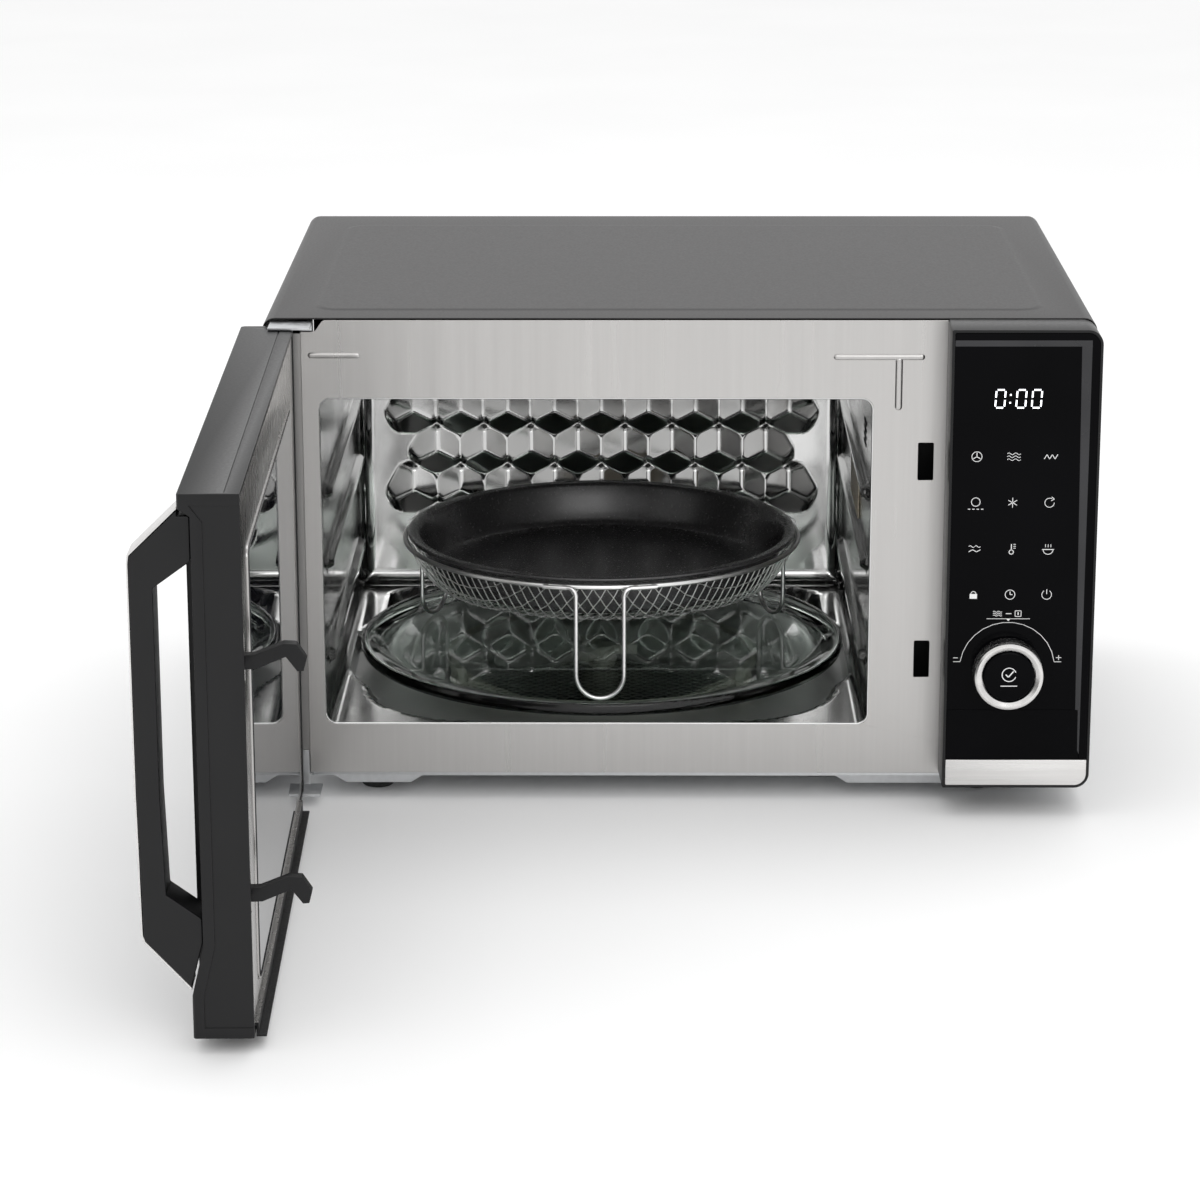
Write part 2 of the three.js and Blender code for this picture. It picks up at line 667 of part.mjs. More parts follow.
/** Antenna, barrel with cooling fins in a bent steel yoke, and the filter box at its far end. */
function magnetron() {
  const flange = box(GUIDE.right + GAP, GUIDE.right + 3, 120, 200, 130, 204);
  const antenna = rod("x", 9, 138, GUIDE.right + 2, ANTENNA.y, ANTENNA.z);
  const barrel = rod("x", 20, GUIDE.right + 2, 216, ANTENNA.y, ANTENNA.z, 12);
  const fins = [];
  for (let i = 0; i < 4; i++) fins.push(box(162 + 12 * i, 163.2 + 12 * i, 130, 190, 137, 197));
  const filterBox = box(214, 240, 138, 182, 145, 190);
  const yoke = [
    box(152, 216, 126, 128, 134, 200),
    box(152, 216, 192, 194, 134, 200),
    box(214, 216, 126, 194, 134, 200),
    box(160, 204, 127, 193, 165, 169),
  ];
  return join(flange, antenna, barrel, ...fins, filterBox, ...yoke);
}
piece(oven, "magnetron", "zinc", magnetron());

/** The high-voltage transformer: core, windings that stand out of it, and its fixing plate. */
function transformer() {
  const { x, y, z } = { x: 196, y: 258, z: 54 };
  const core = box(x - 44, x + 44, y - 34, y + 34, z - 30, z + 30);
  const windings = box(x - 36, x + 36, y - 44, y + 44, z - 30, z + 30);
  const plate = box(x - 46, x + 46, y - 38, y + 38, FLOOR_SHEET + SHEET + GAP, FLOOR_SHEET + SHEET + 1.9);
  const spacer = box(x - 40, x + 40, y - 32, y + 32, FLOOR_SHEET + SHEET + 1, z - 28);
  return join(core, windings, plate, spacer);
}
piece(oven, "transformer", "copper", transformer());
const canFoot = FLOOR_SHEET + SHEET + 0.7;
piece(oven, "capacitor", "polished", alongY(roundRect(122, 146, canFoot, 62, 11.9), 226, 302));

/** The cooling fan: its square plate with a round hole, the wheel in the hole and the motor before it. */
const FAN = { x: 195, z: 150, radius: 41, plate: 324.5 };
piece(
  oven,
  "fan_shroud",
  "black",
  cut(
    box(146, 244, FAN.plate, BACK_FACE - SHEET - GAP, 101, 199),
    rod("y", FAN.radius + 2.5, FAN.plate - 5, BACK_FACE + 5, FAN.x, FAN.z, 20),
  ),
);
const coolingFan = fanWheel(FAN.radius, 11, 2.6, 10, 7, 0.5);
piece(oven, "cooling_fan", "black", coolingFan.rotate([90, 0, 0]).translate([FAN.x, 335, FAN.z]));
piece(
  oven,
  "cooling_fan_motor",
  "zinc",
  join(
    rod("y", 17, 300, 322, FAN.x, FAN.z, 20),
    box(148, 242, 321, FAN.plate - GAP, 143, 157),
    rod("y", 2.2, 320, 339, FAN.x, FAN.z, 10),
  ),
);
piece(
  oven,
  "oven_lamp",
  "glass",
  join(
    box(CAVITY.right + SHEET + GAP, CAVITY.right + 5, LAMP.y - 17, LAMP.y + 17, LAMP.z - 14, LAMP.z + 14),
    rod("x", 9, CAVITY.right + 4, CAVITY.right + 26, LAMP.y, LAMP.z),
    rod("x", 6, CAVITY.right + 20, CAVITY.right + 38, LAMP.y, LAMP.z, 12),
  ),
);

/** The moulded channel behind the latch slots, and the switches on its back. */
const CHANNEL = { left: 128, right: 166, front: 1.4, back: 37, bottom: 60, top: 250, wall: 3 };
function latchBoard() {
  const { left, right, front, back, bottom, top, wall } = CHANNEL;
  return join(
    box(left, right, back - wall, back, bottom, top),
    box(left, left + wall, front, back, bottom, top),
    box(right - wall, right, front, back, bottom, top),
  );
}
piece(oven, "latch_board", "black", latchBoard());
function doorSwitch(lift) {
  const face = CHANNEL.back + 0.4;
  const terminal = (z) => box(141, 145, face + 8.6, face + 15.6, z + lift, z + 2 + lift);
  return join(box(138, 160, face, face + 9.6, 78 + lift, 106 + lift), terminal(82), terminal(98));
}
piece(oven, "door_switch_lower", "black", doorSwitch(0));
piece(oven, "door_switch_upper", "black", doorSwitch(SLOT.pitch));

// ---------------------------------------------------------------- control panel
function panelOutline(inset) {
  const outer = Math.max(PANEL.radius - inset, 1);
  return roundRect(
    PANEL.left + inset,
    PANEL.right - inset,
    PANEL.bottom + inset,
    PANEL.top - inset,
    [1, outer, outer, 1],
  );
}
const FRONT_RECESS = 1.6;
const dialHole = (y0, y1) => rod("y", 8, y0, y1, DIAL.x, DIAL.z, 20);
const aroundPanel = (z0, z1) => box(PANEL.left - 10, PANEL.right + 10, -40, 0, z0, z1);

/** A box round the display's middle, seen from the front. */
function displayBox(width, height, y0, y1) {
  const { x, z } = DISPLAY;
  return box(x - width / 2, x + width / 2, y0, y1, z - height / 2, z + height / 2);
}
piece(
  oven,
  "control_panel_frame",
  "black",
  cut(
    alongY(panelOutline(0), PANEL.front, PANEL.back, 6),
    alongY(panelOutline(FRONT_RECESS), PANEL.front - 1, PANEL.front + 2.6, 6),
    alongY(panelOutline(2.2), PANEL.front + 4.9, PANEL.back + 1, 6),
    dialHole(PANEL.front - 1, PANEL.back),
    displayBox(DISPLAY.width, DISPLAY.height, PANEL.front, -20),
  ),
);
const recessFace = (proud) =>
  alongY(panelOutline(FRONT_RECESS + 0.25), PANEL.front - proud, PANEL.front + 2.3, 6);
const glassFace = cut(recessFace(0.4), aroundPanel(0, STRIP.top + 0.4), dialHole(-40, 0));
piece(oven, "control_glass", "gloss", glassFace);
piece(oven, "control_trim_strip", "silver", cut(recessFace(0.7), aroundPanel(STRIP.top, 400)));
const display = displayBox(DISPLAY.width - 3, DISPLAY.height - 2.5, PANEL.front + 2.8, -18);
piece(oven, "display_module", "black", display);
const BOARD = { left: 165, right: 245.5, front: -12, thickness: 1.6, bottom: 56, top: 292 };
piece(
  oven,
  "control_board",
  "board",
  box(BOARD.left, BOARD.right, BOARD.front, BOARD.front + BOARD.thickness, BOARD.bottom, BOARD.top),
);
piece(
  oven,
  "dial_encoder",
  "zinc",
  join(
    box(DIAL.x - 10, DIAL.x + 10, -17.4, BOARD.front - GAP, DIAL.z - 10, DIAL.z + 10),
    rod("y", 6, -17.6, -17, DIAL.x, DIAL.z),
  ),
);

/** Turns a closed [radius, depth] outline round the dial's axis; depth runs towards the back. */
function dialTurned(points, sides = 24) {
  return turned(points, 0, 0, sides).rotateX(-RIGHT_ANGLE).translate(DIAL.x, 0, DIAL.z);
}
piece(
  oven,
  "dial_ring",
  "silver",
  dialTurned([
    [4.2, -22],
    [6.4, -22],
    [6.4, -33.6],
    [DIAL.radius - 0.6, -33.6],
    [DIAL.radius, -34.4],
    [DIAL.radius, DIAL.face + 1.4],
    [DIAL.radius - 1.2, DIAL.face],
    [DIAL.button + 0.5, DIAL.face],
    [DIAL.button + 0.5, -37],
    [4.2, -37],
  ]),
);
piece(
  oven,
  "dial_button",
  "gloss",
  dialTurned([
    [0, DIAL.face + 0.6],
    [DIAL.button - 0.8, DIAL.face + 0.6],
    [DIAL.button, DIAL.face + 1.4],
    [DIAL.button, -40],
    [3.8, -40],
    [3.8, -19.6],
    [0, -19.6],
  ]),
);

// ---------------------------------------------------------------- hinges
/** A flat steel arm with the pin that the door turns on. */
function hingeBracket(low, pinFrom, pinTo) {
  return join(
    box(-245, -219.9, -17, 4.6, low, low + 1.5),
    rod("z", HINGE.pin, pinFrom, pinTo, HINGE.x, HINGE.y),
  );
}
const upperTab = box(-226.6, -219.9, -0.5, 0.8, 295.3, DOOR.top + 1);
const upperArm = hingeBracket(DOOR.top + GAP + 0.2, 288, DOOR.top + 1);
piece(oven, "hinge_bracket_top", "zinc", join(upperArm, upperTab));
const lowerTab = box(-245, -227.5, 3.4, 4.6, 7, 30);
const lowerArm = hingeBracket(DOOR.bottom - GAP - 1.8, 7, 19);
piece(oven, "hinge_bracket_bottom", "zinc", join(lowerArm, lowerTab));

// ---------------------------------------------------------------- door, drawn closed
/** The moulded surround, hollow from inside, with a trough behind the handle. */
function doorFrame() {
  const cornerRadius = DOOR.back - HINGE.y;
  const plan = new THREE.Shape();
  plan.moveTo(DOOR.right, DOOR.back);
  plan.lineTo(HINGE.x, DOOR.back);
  plan.absarc(HINGE.x, HINGE.y, cornerRadius, RIGHT_ANGLE, Math.PI);
  plan.lineTo(DOOR.left, DOOR.front + 2);
  plan.lineTo(DOOR.left + 2, DOOR.front);
  plan.lineTo(DOOR.right - 1, DOOR.front);
  plan.lineTo(DOOR.right, DOOR.front + 1);
  plan.closePath();
  const body = alongZ(plan, DOOR.bottom, DOOR.top, 8);
  const trough = alongX(
    polygon([
      [DOOR.front - 3, TROUGH.low[0] - 12.8],
      [TROUGH.floor, TROUGH.low[1]],
      [TROUGH.floor, TROUGH.high[0]],
      [DOOR.front - 3, TROUGH.high[1] + 2],
    ]),
    TROUGH.left,
    DOOR.right + 1,
  );
  const [low, high] = [DOOR.front + RECESS.rim, TROUGH.floor + RECESS.rim];
  const sunkField = alongX(
    polygon([
      [0, RECESS.bottom],
      [low, RECESS.bottom],
      [low, TROUGH.low[0]],
      [high, TROUGH.low[1]],
      [high, RECESS.top],
      [low, RECESS.top + 8.5],
      [0, RECESS.top + 8.5],
    ]),
    DOOR.right - RECESS.depth,
    DOOR.right + 1,
  );
  const partingLine = box(-234, 156, -9.5, -8.8, DOOR.top - 0.6, DOOR.top + 1);
  const g = DOOR_GLASS;
  return cut(
    body,
    trough,
    sunkField,
    partingLine,
    box(g.left - GAP, g.right + GAP, DOOR.front - 1, DOOR.front + 3.3, g.bottom - GAP, g.top + GAP),
    box(-234, 115, DOOR.front + 5.8, 1, 14.5, 292.5),
    box(114, 156, -23.4, 1, 14.5, 286),
    box(-237.3, 156.6, -4.9, 1, 11.2, 295.8),
    box(WINDOW.left - 4, WINDOW.right - 12, DOOR.front - 1, 1, WINDOW.bottom - 4, WINDOW.top + 4),
    rod("z", HINGE.pin + 0.4, 280, 300, HINGE.x, HINGE.y, 16),
    rod("z", HINGE.pin + 0.4, 0, 22, HINGE.x, HINGE.y, 16),
  );
}
piece(door, "door_frame", "black", doorFrame());
const { left: glassLeft, right: glassRight, bottom: glassBottom, top: glassTop, thickness } = DOOR_GLASS;
const outerPane = box(glassLeft, glassRight, DOOR.front, DOOR.front + thickness, glassBottom, glassTop);
piece(door, "door_glass", "gloss", outerPane);

/** The steel plate on the door's inside, with the window, the hook slots and a lip along its foot. */
const HOOK_SLOT = { left: 143.8, right: 153.8, low: 73, height: 25 };
function doorInnerFrame() {
  const plate = box(-237, 156.3, -4.6, -2.2, 11.6, 295.5);
  const lip = [
    box(-205, 150, -2.3, 0.2, 11.6, 14),
    box(-205, 150, -1.1, 0.2, 6, 12),
    box(-205, 150, -1.1, 4.2, 6, 7.2),
  ];
  const slots = [0, SLOT.pitch].map((lift) => {
    const low = HOOK_SLOT.low + lift;
    return box(HOOK_SLOT.left, HOOK_SLOT.right, -6, 0, low, low + HOOK_SLOT.height);
  });
  const window = box(WINDOW.left, WINDOW.right, -6, 0, WINDOW.bottom, WINDOW.top);
  return cut(join(plate, ...lip), window, ...slots);
}
piece(door, "door_inner_frame", "steel", doorInnerFrame());
piece(door, "door_screen", "zinc", box(-204, 120, -5.9, -4.9, 21, 263));
piece(door, "door_inner_glass", "glass", alongY(roundRect(-200, 118, 25, 259, 6), -1.9, -0.7));

/** The handle's outline and the opening for the fingers, as [depth, height] points. */
const gripOuter = [
  [-33.1, 291.4],
  [-58.6, 266.5],
  [-59.2, 262],
  [-59.2, 140],
  [-58.2, 64.4],
  [-57.1, 60.6],
  [-33.1, 34.1],
];
const gripInner = [
  [-26.75, 60.6],
  [-26.75, 73.5],
  [-44.7, 86.6],
  [-46.3, 140],
  [-46.2, 249.3],
  [-26.75, 263.4],
  [-26.75, 286.2],
];
const besideDoor = (z0, z1) => box(GRIP.left - 1, GRIP.right + 1, DOOR.front - 0.3, -20, z0, z1);
const underTrim = offset(gripOuter, -GRIP.trim - GAP).slice(1, -1);
const gripSide = polygon([...underTrim, [-33.1, 36.2], ...gripInner, [-33.1, 289.3]]);
piece(door, "door_handle", "black", cut(alongX(gripSide, GRIP.left, GRIP.right), besideDoor(286.5, 300)));
const trimSide = polygon([...gripOuter, ...offset(gripOuter, -GRIP.trim).reverse()]);
const trimBand = alongX(trimSide, GRIP.left + 1, GRIP.right - 1);
piece(door, "handle_trim", "silver", cut(trimBand, besideDoor(20, 300)));

/** One latch hook in the plane across the door: an arm that rises and turns down at its tip. */
function latchHook(lift) {
  const low = SLOT.bottom + 1.9 + lift;
  return alongX(
    polygon([
      [-10, low],
      [4, low + 0.4],
      [19, low + 6.8],
      [24.8, low - 0.9],
      [28, low - 0.6],
      [29.6, low + 5.6],
      [24.5, low + 13.4],
      [18, low + 13.8],
      [3, low + 7.8],
      [-10, low + 7.5],
    ]),
    145.3,
    152.3,
  );
}
piece(
  door,
  "latch_bar",
  "black",
  join(box(144, 153, -20, -9, 70, 236), latchHook(0), latchHook(SLOT.pitch)),
);

/** The spring above the bar that presses the hooks down. */
const SPRING = { x: 148.5, y: -14.5, radius: 3.4, low: 237, height: 46, turns: 5, wire: 0.5 };
class SpringCoil extends THREE.Curve {
  getPoint(t) {
    const angle = 2 * Math.PI * SPRING.turns * t;
    const [x, y] = [SPRING.radius * Math.cos(angle), SPRING.radius * Math.sin(angle)];
    return new THREE.Vector3(SPRING.x + x, SPRING.y + y, SPRING.low + SPRING.height * t);
  }
}
piece(door, "latch_spring", "zinc", wire(new SpringCoil(), SPRING.wire, 40, 4));

// ---------------------------------------------------------------- assembly
door.position.set(HINGE.x, HINGE.y, 0);
door.rotation.z = THREE.MathUtils.degToRad(-OPEN_ANGLE);
oven.add(door);

// The part's own origin is the middle of its footprint, door open, on the table.
const extent = new THREE.Box3().setFromObject(oven);
oven.position.set(-(extent.min.x + extent.max.x) / 2, -(extent.min.y + extent.max.y) / 2, -extent.min.z);
const group = new THREE.Group();
group.add(oven);

export default group;
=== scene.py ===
"""Builds the looks of a countertop microwave oven, its door swung open, around its CAD frame.

Lengths in the code are millimetres in the oven's drawing frame: X = 0 at the cabinet's middle, Y = 0 on
the front plate and Z = 0 on the table. The door is drawn closed and its objects carry the turn that opens it.
"""

import json
import math

import bmesh
import bpy
from bpy.props import FloatProperty, FloatVectorProperty, IntProperty, PointerProperty
from bpy.types import Operator, Panel, PropertyGroup
from mathutils import Matrix, Vector

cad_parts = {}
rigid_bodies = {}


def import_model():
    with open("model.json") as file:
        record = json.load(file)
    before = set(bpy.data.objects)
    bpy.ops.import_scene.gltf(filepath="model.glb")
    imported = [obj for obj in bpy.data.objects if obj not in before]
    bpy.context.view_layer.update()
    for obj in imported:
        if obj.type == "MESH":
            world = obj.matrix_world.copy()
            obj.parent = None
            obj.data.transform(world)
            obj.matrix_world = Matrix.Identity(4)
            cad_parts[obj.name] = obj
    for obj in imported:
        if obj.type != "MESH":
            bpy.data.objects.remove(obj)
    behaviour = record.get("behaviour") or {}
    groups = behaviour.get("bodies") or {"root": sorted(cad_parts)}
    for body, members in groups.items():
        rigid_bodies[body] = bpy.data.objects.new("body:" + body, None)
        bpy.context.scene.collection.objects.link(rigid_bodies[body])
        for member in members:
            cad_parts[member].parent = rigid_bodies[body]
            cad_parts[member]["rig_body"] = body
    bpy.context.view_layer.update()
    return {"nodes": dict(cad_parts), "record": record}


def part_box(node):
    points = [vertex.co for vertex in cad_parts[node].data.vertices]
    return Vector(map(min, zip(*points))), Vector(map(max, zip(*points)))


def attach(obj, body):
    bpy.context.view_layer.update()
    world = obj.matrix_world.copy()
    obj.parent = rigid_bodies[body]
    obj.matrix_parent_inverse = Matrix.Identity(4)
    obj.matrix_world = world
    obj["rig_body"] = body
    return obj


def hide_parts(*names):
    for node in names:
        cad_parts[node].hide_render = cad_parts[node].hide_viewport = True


bl_info = {
    "name": "Microwave Oven Builder",
    "version": (1, 0, 0),
    "blender": (4, 5, 0),
    "location": "3D View > Sidebar > Oven",
    "description": "Builds a countertop microwave oven with its basket, pan and open door",
    "category": "Object",
}

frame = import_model()

MM = 0.001
QUARTER = math.pi / 2
DOOR_ANGLE = math.radians(-88.84)
HINGE_PLACE = Vector((-0.2395, -0.0105, 0))

cover_low, cover_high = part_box("outer_cover")
plate_low, plate_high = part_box("front_plate")
ORIGIN = Vector(((cover_low.x + cover_high.x) / 2, plate_low.y, 0))
HINGE = ORIGIN + HINGE_PLACE
CLOSED = Matrix.Translation(ORIGIN)
OPENED = Matrix.Translation(HINGE) @ Matrix.Rotation(DOOR_ANGLE, 4, "Z") @ Matrix.Translation(ORIGIN - HINGE)
DOOR_BODIES = {"door", "latch"}

glass_low, glass_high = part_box("glass_turntable")
SPIN_X = ((glass_low.x + glass_high.x) / 2 - ORIGIN.x) / MM
SPIN_Y = ((glass_low.y + glass_high.y) / 2 - ORIGIN.y) / MM


# ---------------------------------------------------------------- what a user may change
class OvenSizes(PropertyGroup):
    """Lengths of the fine shape, in metres"""

    emboss_height: FloatProperty(
        name="Cover field height",
        description="How far the field on the cover's top stands up",
        default=0.0006,
        unit="LENGTH",
    )
    emboss_slope: FloatProperty(
        name="Cover field slope",
        description="Width of the slope round the cover's raised field",
        default=0.005,
        unit="LENGTH",
    )
    pyramid_height: FloatProperty(
        name="Pyramid height",
        description="How far the stamped pyramids of the rear wall point into the cavity",
        default=0.008,
        unit="LENGTH",
    )
    wall_step: FloatProperty(
        name="Wall mesh step",
        description="Distance between the mesh lines of the rear wall",
        default=0.0012,
        unit="LENGTH",
    )
    weave_pitch: FloatProperty(
        name="Weave pitch",
        description="Distance between neighbouring wires of the basket's mesh",
        default=0.0058,
        unit="LENGTH",
    )
    weave_wire: FloatProperty(
        name="Weave wire", description="Diameter of the basket's mesh wire", default=0.0008, unit="LENGTH",
    )
    lathe_sides: IntProperty(
        name="Lathe sides", description="Facets round a turned piece such as the glass plate", default=120,
    )


class OvenColours(PropertyGroup):
    """Colours of the finishes"""

    coat: FloatVectorProperty(
        name="Cover coat",
        description="Baked coating on the wrapped cover",
        default=(0.024, 0.0228, 0.023),
        subtype="COLOR",
    )
    steel: FloatVectorProperty(
        name="Front steel",
        description="Brushed steel of the front plate and of the door's inner plate",
        default=(0.5, 0.49, 0.48),
        subtype="COLOR",
    )
    bright_steel: FloatVectorProperty(
        name="Cavity steel",
        description="Bright drawn steel inside the cavity",
        default=(0.64, 0.64, 0.635),
        subtype="COLOR",
    )
    zinc: FloatVectorProperty(
        name="Zinc",
        description="Galvanised steel of the pans, brackets and housings",
        default=(0.55, 0.56, 0.57),
        subtype="COLOR",
    )
    plastic: FloatVectorProperty(
        name="Black plastic",
        description="Moulded plastic of the door, handle and panel",
        default=(0.006, 0.006, 0.0065),
        subtype="COLOR",
    )
    gloss: FloatVectorProperty(
        name="Gloss black",
        description="Polished face of the control panel and the door",
        default=(0.0015, 0.0015, 0.002),
        subtype="COLOR",
    )
    trim: FloatVectorProperty(
        name="Silver trim",
        description="Brushed metal of the dial ring, the strip and the handle's edge",
        default=(0.68, 0.67, 0.66),
        subtype="COLOR",
    )
    glass: FloatVectorProperty(
        name="Glass tint",
        description="Tint of the turntable's glass",
        default=(0.87, 0.95, 0.9),
        subtype="COLOR",
    )
    enamel: FloatVectorProperty(
        name="Pan coating",
        description="Dark non-stick coating of the pan",
        default=(0.034, 0.033, 0.034),
        subtype="COLOR",
    )
    chrome: FloatVectorProperty(
        name="Chromed wire",
        description="Bright chrome of the basket",
        default=(0.9, 0.9, 0.89),
        subtype="COLOR",
    )


# ---------------------------------------------------------------- finishes
def new_finish(name, base, metallic, roughness, **inputs):
    """A material with one Principled shader, its even values set on the shader's own sockets."""
    material = bpy.data.materials.new(name)
    material.use_nodes = True
    shader = material.node_tree.nodes["Principled BSDF"]
    shader.inputs["Base Color"].default_value = (*base, 1)
    shader.inputs["Metallic"].default_value = metallic
    shader.inputs["Roughness"].default_value = roughness
    for socket, value in inputs.items():
        shader.inputs[socket.replace("_", " ")].default_value = value
    return material


def noise(material, scale, detail=2.0, stretch=(1, 1, 1), rough=0.5):
    """A noise pattern in the piece's own coordinates, stretched along its axes."""
    nodes, links = material.node_tree.nodes, material.node_tree.links
    coords = nodes.new("ShaderNodeTexCoord")
    mapping = nodes.new("ShaderNodeMapping")
    mapping.inputs["Scale"].default_value = stretch
    texture = nodes.new("ShaderNodeTexNoise")
    texture.inputs["Scale"].default_value = scale
    texture.inputs["Detail"].default_value = detail
    texture.inputs["Roughness"].default_value = rough
    links.new(coords.outputs["Object"], mapping.inputs["Vector"])
    links.new(mapping.outputs["Vector"], texture.inputs["Vector"])
    return texture.outputs["Fac"]


def cells(material, scale, feature="F1", randomness=1.0):
    """A cell pattern: distance from the nearest point, or a shade for each cell."""
    nodes, links = material.node_tree.nodes, material.node_tree.links
    coords = nodes.new("ShaderNodeTexCoord")
    texture = nodes.new("ShaderNodeTexVoronoi")
    texture.feature = feature
    texture.inputs["Scale"].default_value = scale
    texture.inputs["Randomness"].default_value = randomness
    links.new(coords.outputs["Object"], texture.inputs["Vector"])
    return texture.outputs["Distance"]


def remap(material, value, low, high, start=0.3, end=0.7):
    """The pattern's span from start to end, spread from low to high."""
    node = material.node_tree.nodes.new("ShaderNodeMapRange")
    node.inputs["From Min"].default_value = start
    node.inputs["From Max"].default_value = end
    node.inputs["To Min"].default_value = low
    node.inputs["To Max"].default_value = high
    material.node_tree.links.new(value, node.inputs["Value"])
    return node.outputs["Result"]


def shaded(material, value, dark, light):
    """Colours the piece between two colours by a pattern."""
    nodes, links = material.node_tree.nodes, material.node_tree.links
    ramp = nodes.new("ShaderNodeValToRGB")
    ramp.color_ramp.elements[0].position = 0.3
    ramp.color_ramp.elements[0].color = (*dark, 1)
    ramp.color_ramp.elements[1].position = 0.7
    ramp.color_ramp.elements[1].color = (*light, 1)
    links.new(value, ramp.inputs["Fac"])
    links.new(ramp.outputs["Color"], nodes["Principled BSDF"].inputs["Base Color"])


def rough_by(material, value, low, high):
    """Varies the roughness by a pattern."""
    shader = material.node_tree.nodes["Principled BSDF"]
    material.node_tree.links.new(remap(material, value, low, high), shader.inputs["Roughness"])


def bumped(material, *patterns):
    """Adds relief from (pattern, depth in millimetres) pairs, one on the other."""
    nodes, links = material.node_tree.nodes, material.node_tree.links
    normal = None
    for value, depth in patterns:
        bump = nodes.new("ShaderNodeBump")
        bump.inputs["Strength"].default_value = 1
        bump.inputs["Distance"].default_value = depth * MM
        links.new(value, bump.inputs["Height"])
        if normal:
            links.new(normal, bump.inputs["Normal"])
        normal = bump.outputs["Normal"]
    links.new(normal, nodes["Principled BSDF"].inputs["Normal"])


def scaled(colour, factor):
    return tuple(channel * factor for channel in colour)


def coat_finish(name, base):
    """Baked satin coating: fine orange peel and slow changes of gloss."""
    made = new_finish(name, base, 0, 0.42, Specular_IOR_Level=0.35)
    shaded(made, noise(made, 5, 2), scaled(base, 0.97), scaled(base, 1.03))
    rough_by(made, noise(made, 700, 2), 0.4, 0.46)
    bumped(made, (noise(made, 1300, 2), 0.006))
    return made


def brushed_finish(name, base, stretch, low, high, depth=0.006, contrast=0.07):
    """Brushed metal: long fine scratches along one axis."""
    made = new_finish(name, base, 1, (low + high) / 2)
    scratch = noise(made, 260, 4, stretch, 0.7)
    shaded(made, scratch, scaled(base, 1 - contrast), scaled(base, 1 + contrast))
    rough_by(made, noise(made, 120, 3, stretch), low, high)
    bumped(made, (scratch, depth))
    return made


def bright_finish(name, base, low, high, depth):
    """Bright drawn sheet: mirror-like, with a faint waviness and wiping marks."""
    made = new_finish(name, base, 1, (low + high) / 2)
    rough_by(made, noise(made, 35, 5), low, high)
    shaded(made, noise(made, 14, 3), scaled(base, 0.94), scaled(base, 1.05))
    bumped(made, (noise(made, 22, 2), depth), (noise(made, 700, 2), 0.002))
    return made


def zinc_finish(name, base):
    """Galvanised sheet with a soft spangle."""
    made = new_finish(name, base, 1, 0.42)
    spangle = cells(made, 240)
    shaded(made, spangle, scaled(base, 0.95), scaled(base, 1.02))
    rough_by(made, spangle, 0.38, 0.46)
    bumped(made, (noise(made, 300, 3), 0.01))
    return made


def plastic_finish(name, base, low, high, grain=0.006, gloss=0.5):
    """Moulded plastic with a fine spark-eroded grain."""
    made = new_finish(name, base, 0, (low + high) / 2, Specular_IOR_Level=gloss)
    shaded(made, noise(made, 30, 3), scaled(base, 0.9), scaled(base, 1.1))
    rough_by(made, noise(made, 600, 3), low, high)
    bumped(made, (noise(made, 1500, 2), grain))
    return made


def polished_finish(name, base, low=0.02, high=0.06, gloss=0.045):
    """Polished black face with a trace of wiping marks."""
    made = new_finish(name, base, 0, (low + high) / 2, Specular_IOR_Level=gloss)
    shaded(made, noise(made, 18, 2), scaled(base, 0.8), scaled(base, 1.2))
    rough_by(made, noise(made, 40, 5), low, high)
    return made


def glass_finish(name, tint, low=0.0, high=0.02):
    """Clear pressed glass with slow ripples."""
    made = new_finish(name, tint, 0, low, Transmission_Weight=1.0, IOR=1.5)
    shaded(made, noise(made, 12, 2), scaled(tint, 0.97), scaled(tint, 1.0))
    rough_by(made, noise(made, 50, 3), low, high)
    bumped(made, (noise(made, 9, 1), 0.0005))
    return made


def enamel_finish(name, base):
    """Sprayed dark non-stick coating, finely speckled, under a thin clear coat."""
    made = new_finish(name, base, 0, 0.25, Specular_IOR_Level=0.6, Coat_Weight=0.3, Coat_Roughness=0.22)
    shaded(made, noise(made, 700, 2), scaled(base, 0.8), scaled(base, 1.3))
    rough_by(made, noise(made, 500, 3), 0.22, 0.28)
    return made


def perforated_finish(name, base, pitch):
    """Sheet with round holes on a square grid, shown as dark dots."""
    made = new_finish(name, base, 0, 0.4)
    nodes, links = made.node_tree.nodes, made.node_tree.links
    coords = nodes.new("ShaderNodeTexCoord")
    split = nodes.new("ShaderNodeSeparateXYZ")
    links.new(coords.outputs["Object"], split.inputs["Vector"])
    waves = []
    for axis in ("X", "Z"):
        turn = nodes.new("ShaderNodeMath")
        turn.operation = "MULTIPLY"
        turn.inputs[1].default_value = 2 * math.pi / pitch
        wave = nodes.new("ShaderNodeMath")
        wave.operation = "COSINE"
        links.new(split.outputs[axis], turn.inputs[0])
        links.new(turn.outputs["Value"], wave.inputs[0])
        waves.append(wave.outputs["Value"])
    total = nodes.new("ShaderNodeMath")
    total.operation = "ADD"
    links.new(waves[0], total.inputs[0])
    links.new(waves[1], total.inputs[1])
    dots = remap(made, total.outputs["Value"], 0, 1, 0.5, 0.9)
    shaded(made, dots, base, scaled(base, 0.08))
    bumped(made, (dots, -0.2))
    return made


def light_finish(name, colour, strength):
    """Lit segments of the clock."""
    made = new_finish(name, scaled(colour, 0.8), 0, 0.4)
    shader = made.node_tree.nodes["Principled BSDF"]
    shader.inputs["Emission Color"].default_value = (*colour, 1)
    shader.inputs["Emission Strength"].default_value = strength
    rough_by(made, noise(made, 400, 2), 0.35, 0.45)
    return made


